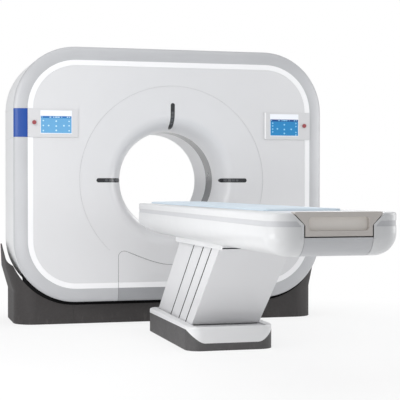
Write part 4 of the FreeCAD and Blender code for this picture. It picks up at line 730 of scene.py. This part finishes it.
def add_column_step_shades():
    """Painted shade: black strips laid in the steps between the column's sliding covers, where each step's shadow
    falls.
    """
    for number, (body, cover, rear) in enumerate(COVER_SHADE_STRIPS, 1):
        low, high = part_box(cover)
        foot, top = low.z + SHADE_STRIP_INSET, high.z - SHADE_STRIP_INSET
        near, far = rear + SHADE_STRIP_STEP, rear + SHADE_STRIP_STEP + SHADE_STRIP_WIDTH
        corners = ((near, foot), (far, foot), (far, top), (near, top))
        outline = [(beside_arm(body, behind, z), z) for behind, z in corners]
        inner, outer = high.x - COVER_PLATE, high.x - SHADE_STRIP_SINK
        strips = [slanted_plate(side * inner, side * outer, outline) for side in (-1, 1)]
        gather(f"column_step_shade_{number}", strips, body, "seal_black")


def add_apron_shade_strip():
    """Painted shade: a thin black strip across the foot of the column's front, where the narrow gap there is
    shadowed.
    """
    near = beside_arm("front_arm", -APRON_AHEAD, APRON_TOP) - APRON_STEP
    far = near - APRON_DEPTH
    outline = [(near, APRON_FOOT), (far, APRON_FOOT), (far, APRON_TOP), (near, APRON_TOP)]
    strip = slanted_plate(-APRON_HALF, APRON_HALF, outline)
    piece("apron_seal", strip, "front_arm", "seal_black")


def add_handle_gap_shade():
    """Painted shade: black blocks in the gap round the handle's lower half, where its shadow falls."""
    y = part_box("cradle_handle")[0].y + GAP_SHADE_SETBACK
    gap_shades = [block(GAP_SHADE_SIZE, (side * GAP_SHADE_X, y, GAP_SHADE_HEIGHT)) for side in (-1, 1)]
    gather("handle_side_seals", gap_shades, "carriage", "seal_black")


# ---- the mattress --------------------------------------------------------------------------------

PAD_CORNER, PAD_ROUND = 0.045, 0.022
PAD_RIM = 0.14  # the rim's height, as a share of the pad's
PAD_FALL = 0.14  # how far the crown falls to the sides, as a share of the pad's height
PAD_SOLE = 0.0003


def round_corner(x, y, half, low_y, high_y):
    """Draws a point near the corner of a rectangle in onto a round one."""
    dx = PAD_CORNER - (half - abs(x))
    dy = PAD_CORNER - min(high_y - y, y - low_y)
    if dx <= 0 or dy <= 0:
        return x, y
    drawn = max(dx, dy) / math.hypot(dx, dy)
    inner_y = high_y - PAD_CORNER if y > (high_y + low_y) / 2 else low_y + PAD_CORNER
    return (
        math.copysign(half - PAD_CORNER + dx * drawn, x),
        inner_y + math.copysign(dy * drawn, y - inner_y),
    )


def add_mattress():
    """The thin pad: crowned across, with a rounded edge all round."""
    low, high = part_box("mattress")
    half, thick = (high.x - low.x) / 2, high.z - low.z
    mesh = bmesh.new()
    bmesh.ops.create_grid(mesh, x_segments=28, y_segments=150, size=0.5)
    bmesh.ops.scale(mesh, vec=(high.x - low.x, high.y - low.y, 1), verts=mesh.verts)
    bmesh.ops.translate(mesh, vec=(0, (high.y + low.y) / 2, 0), verts=mesh.verts)
    for v in mesh.verts:
        v.co.x, v.co.y = round_corner(v.co.x, v.co.y, half, low.y, high.y)
    top = set(thicken(mesh, mesh.faces[:], (0, 0, thick)))
    for v in mesh.verts:
        x, y = v.co.x, v.co.y
        edge = min(half - abs(x), high.y - y, y - low.y)
        inward = min(1, max(0, edge) / PAD_ROUND)
        swell = PAD_RIM + (1 - PAD_RIM) * math.sqrt(1 - (1 - inward) ** 2)
        crown = 1 - PAD_FALL + PAD_FALL * math.cos(x / half * math.pi / 2)
        v.co.z = low.z + (thick * swell * crown if v in top else PAD_SOLE)
    pad = piece("mattress_pad", mesh, "cradle", "mattress_blue", smooth=True)
    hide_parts("mattress")


# ---- the whole scene -----------------------------------------------------------------------------

add_camera()
add_studio()
add_screens()
add_panel_seam()
add_dish_line()
add_column_step_shades()
add_apron_shade_strip()
add_slot_lamps()
add_handle_gap_shade()
add_panel_highlight_strip()
add_mattress()
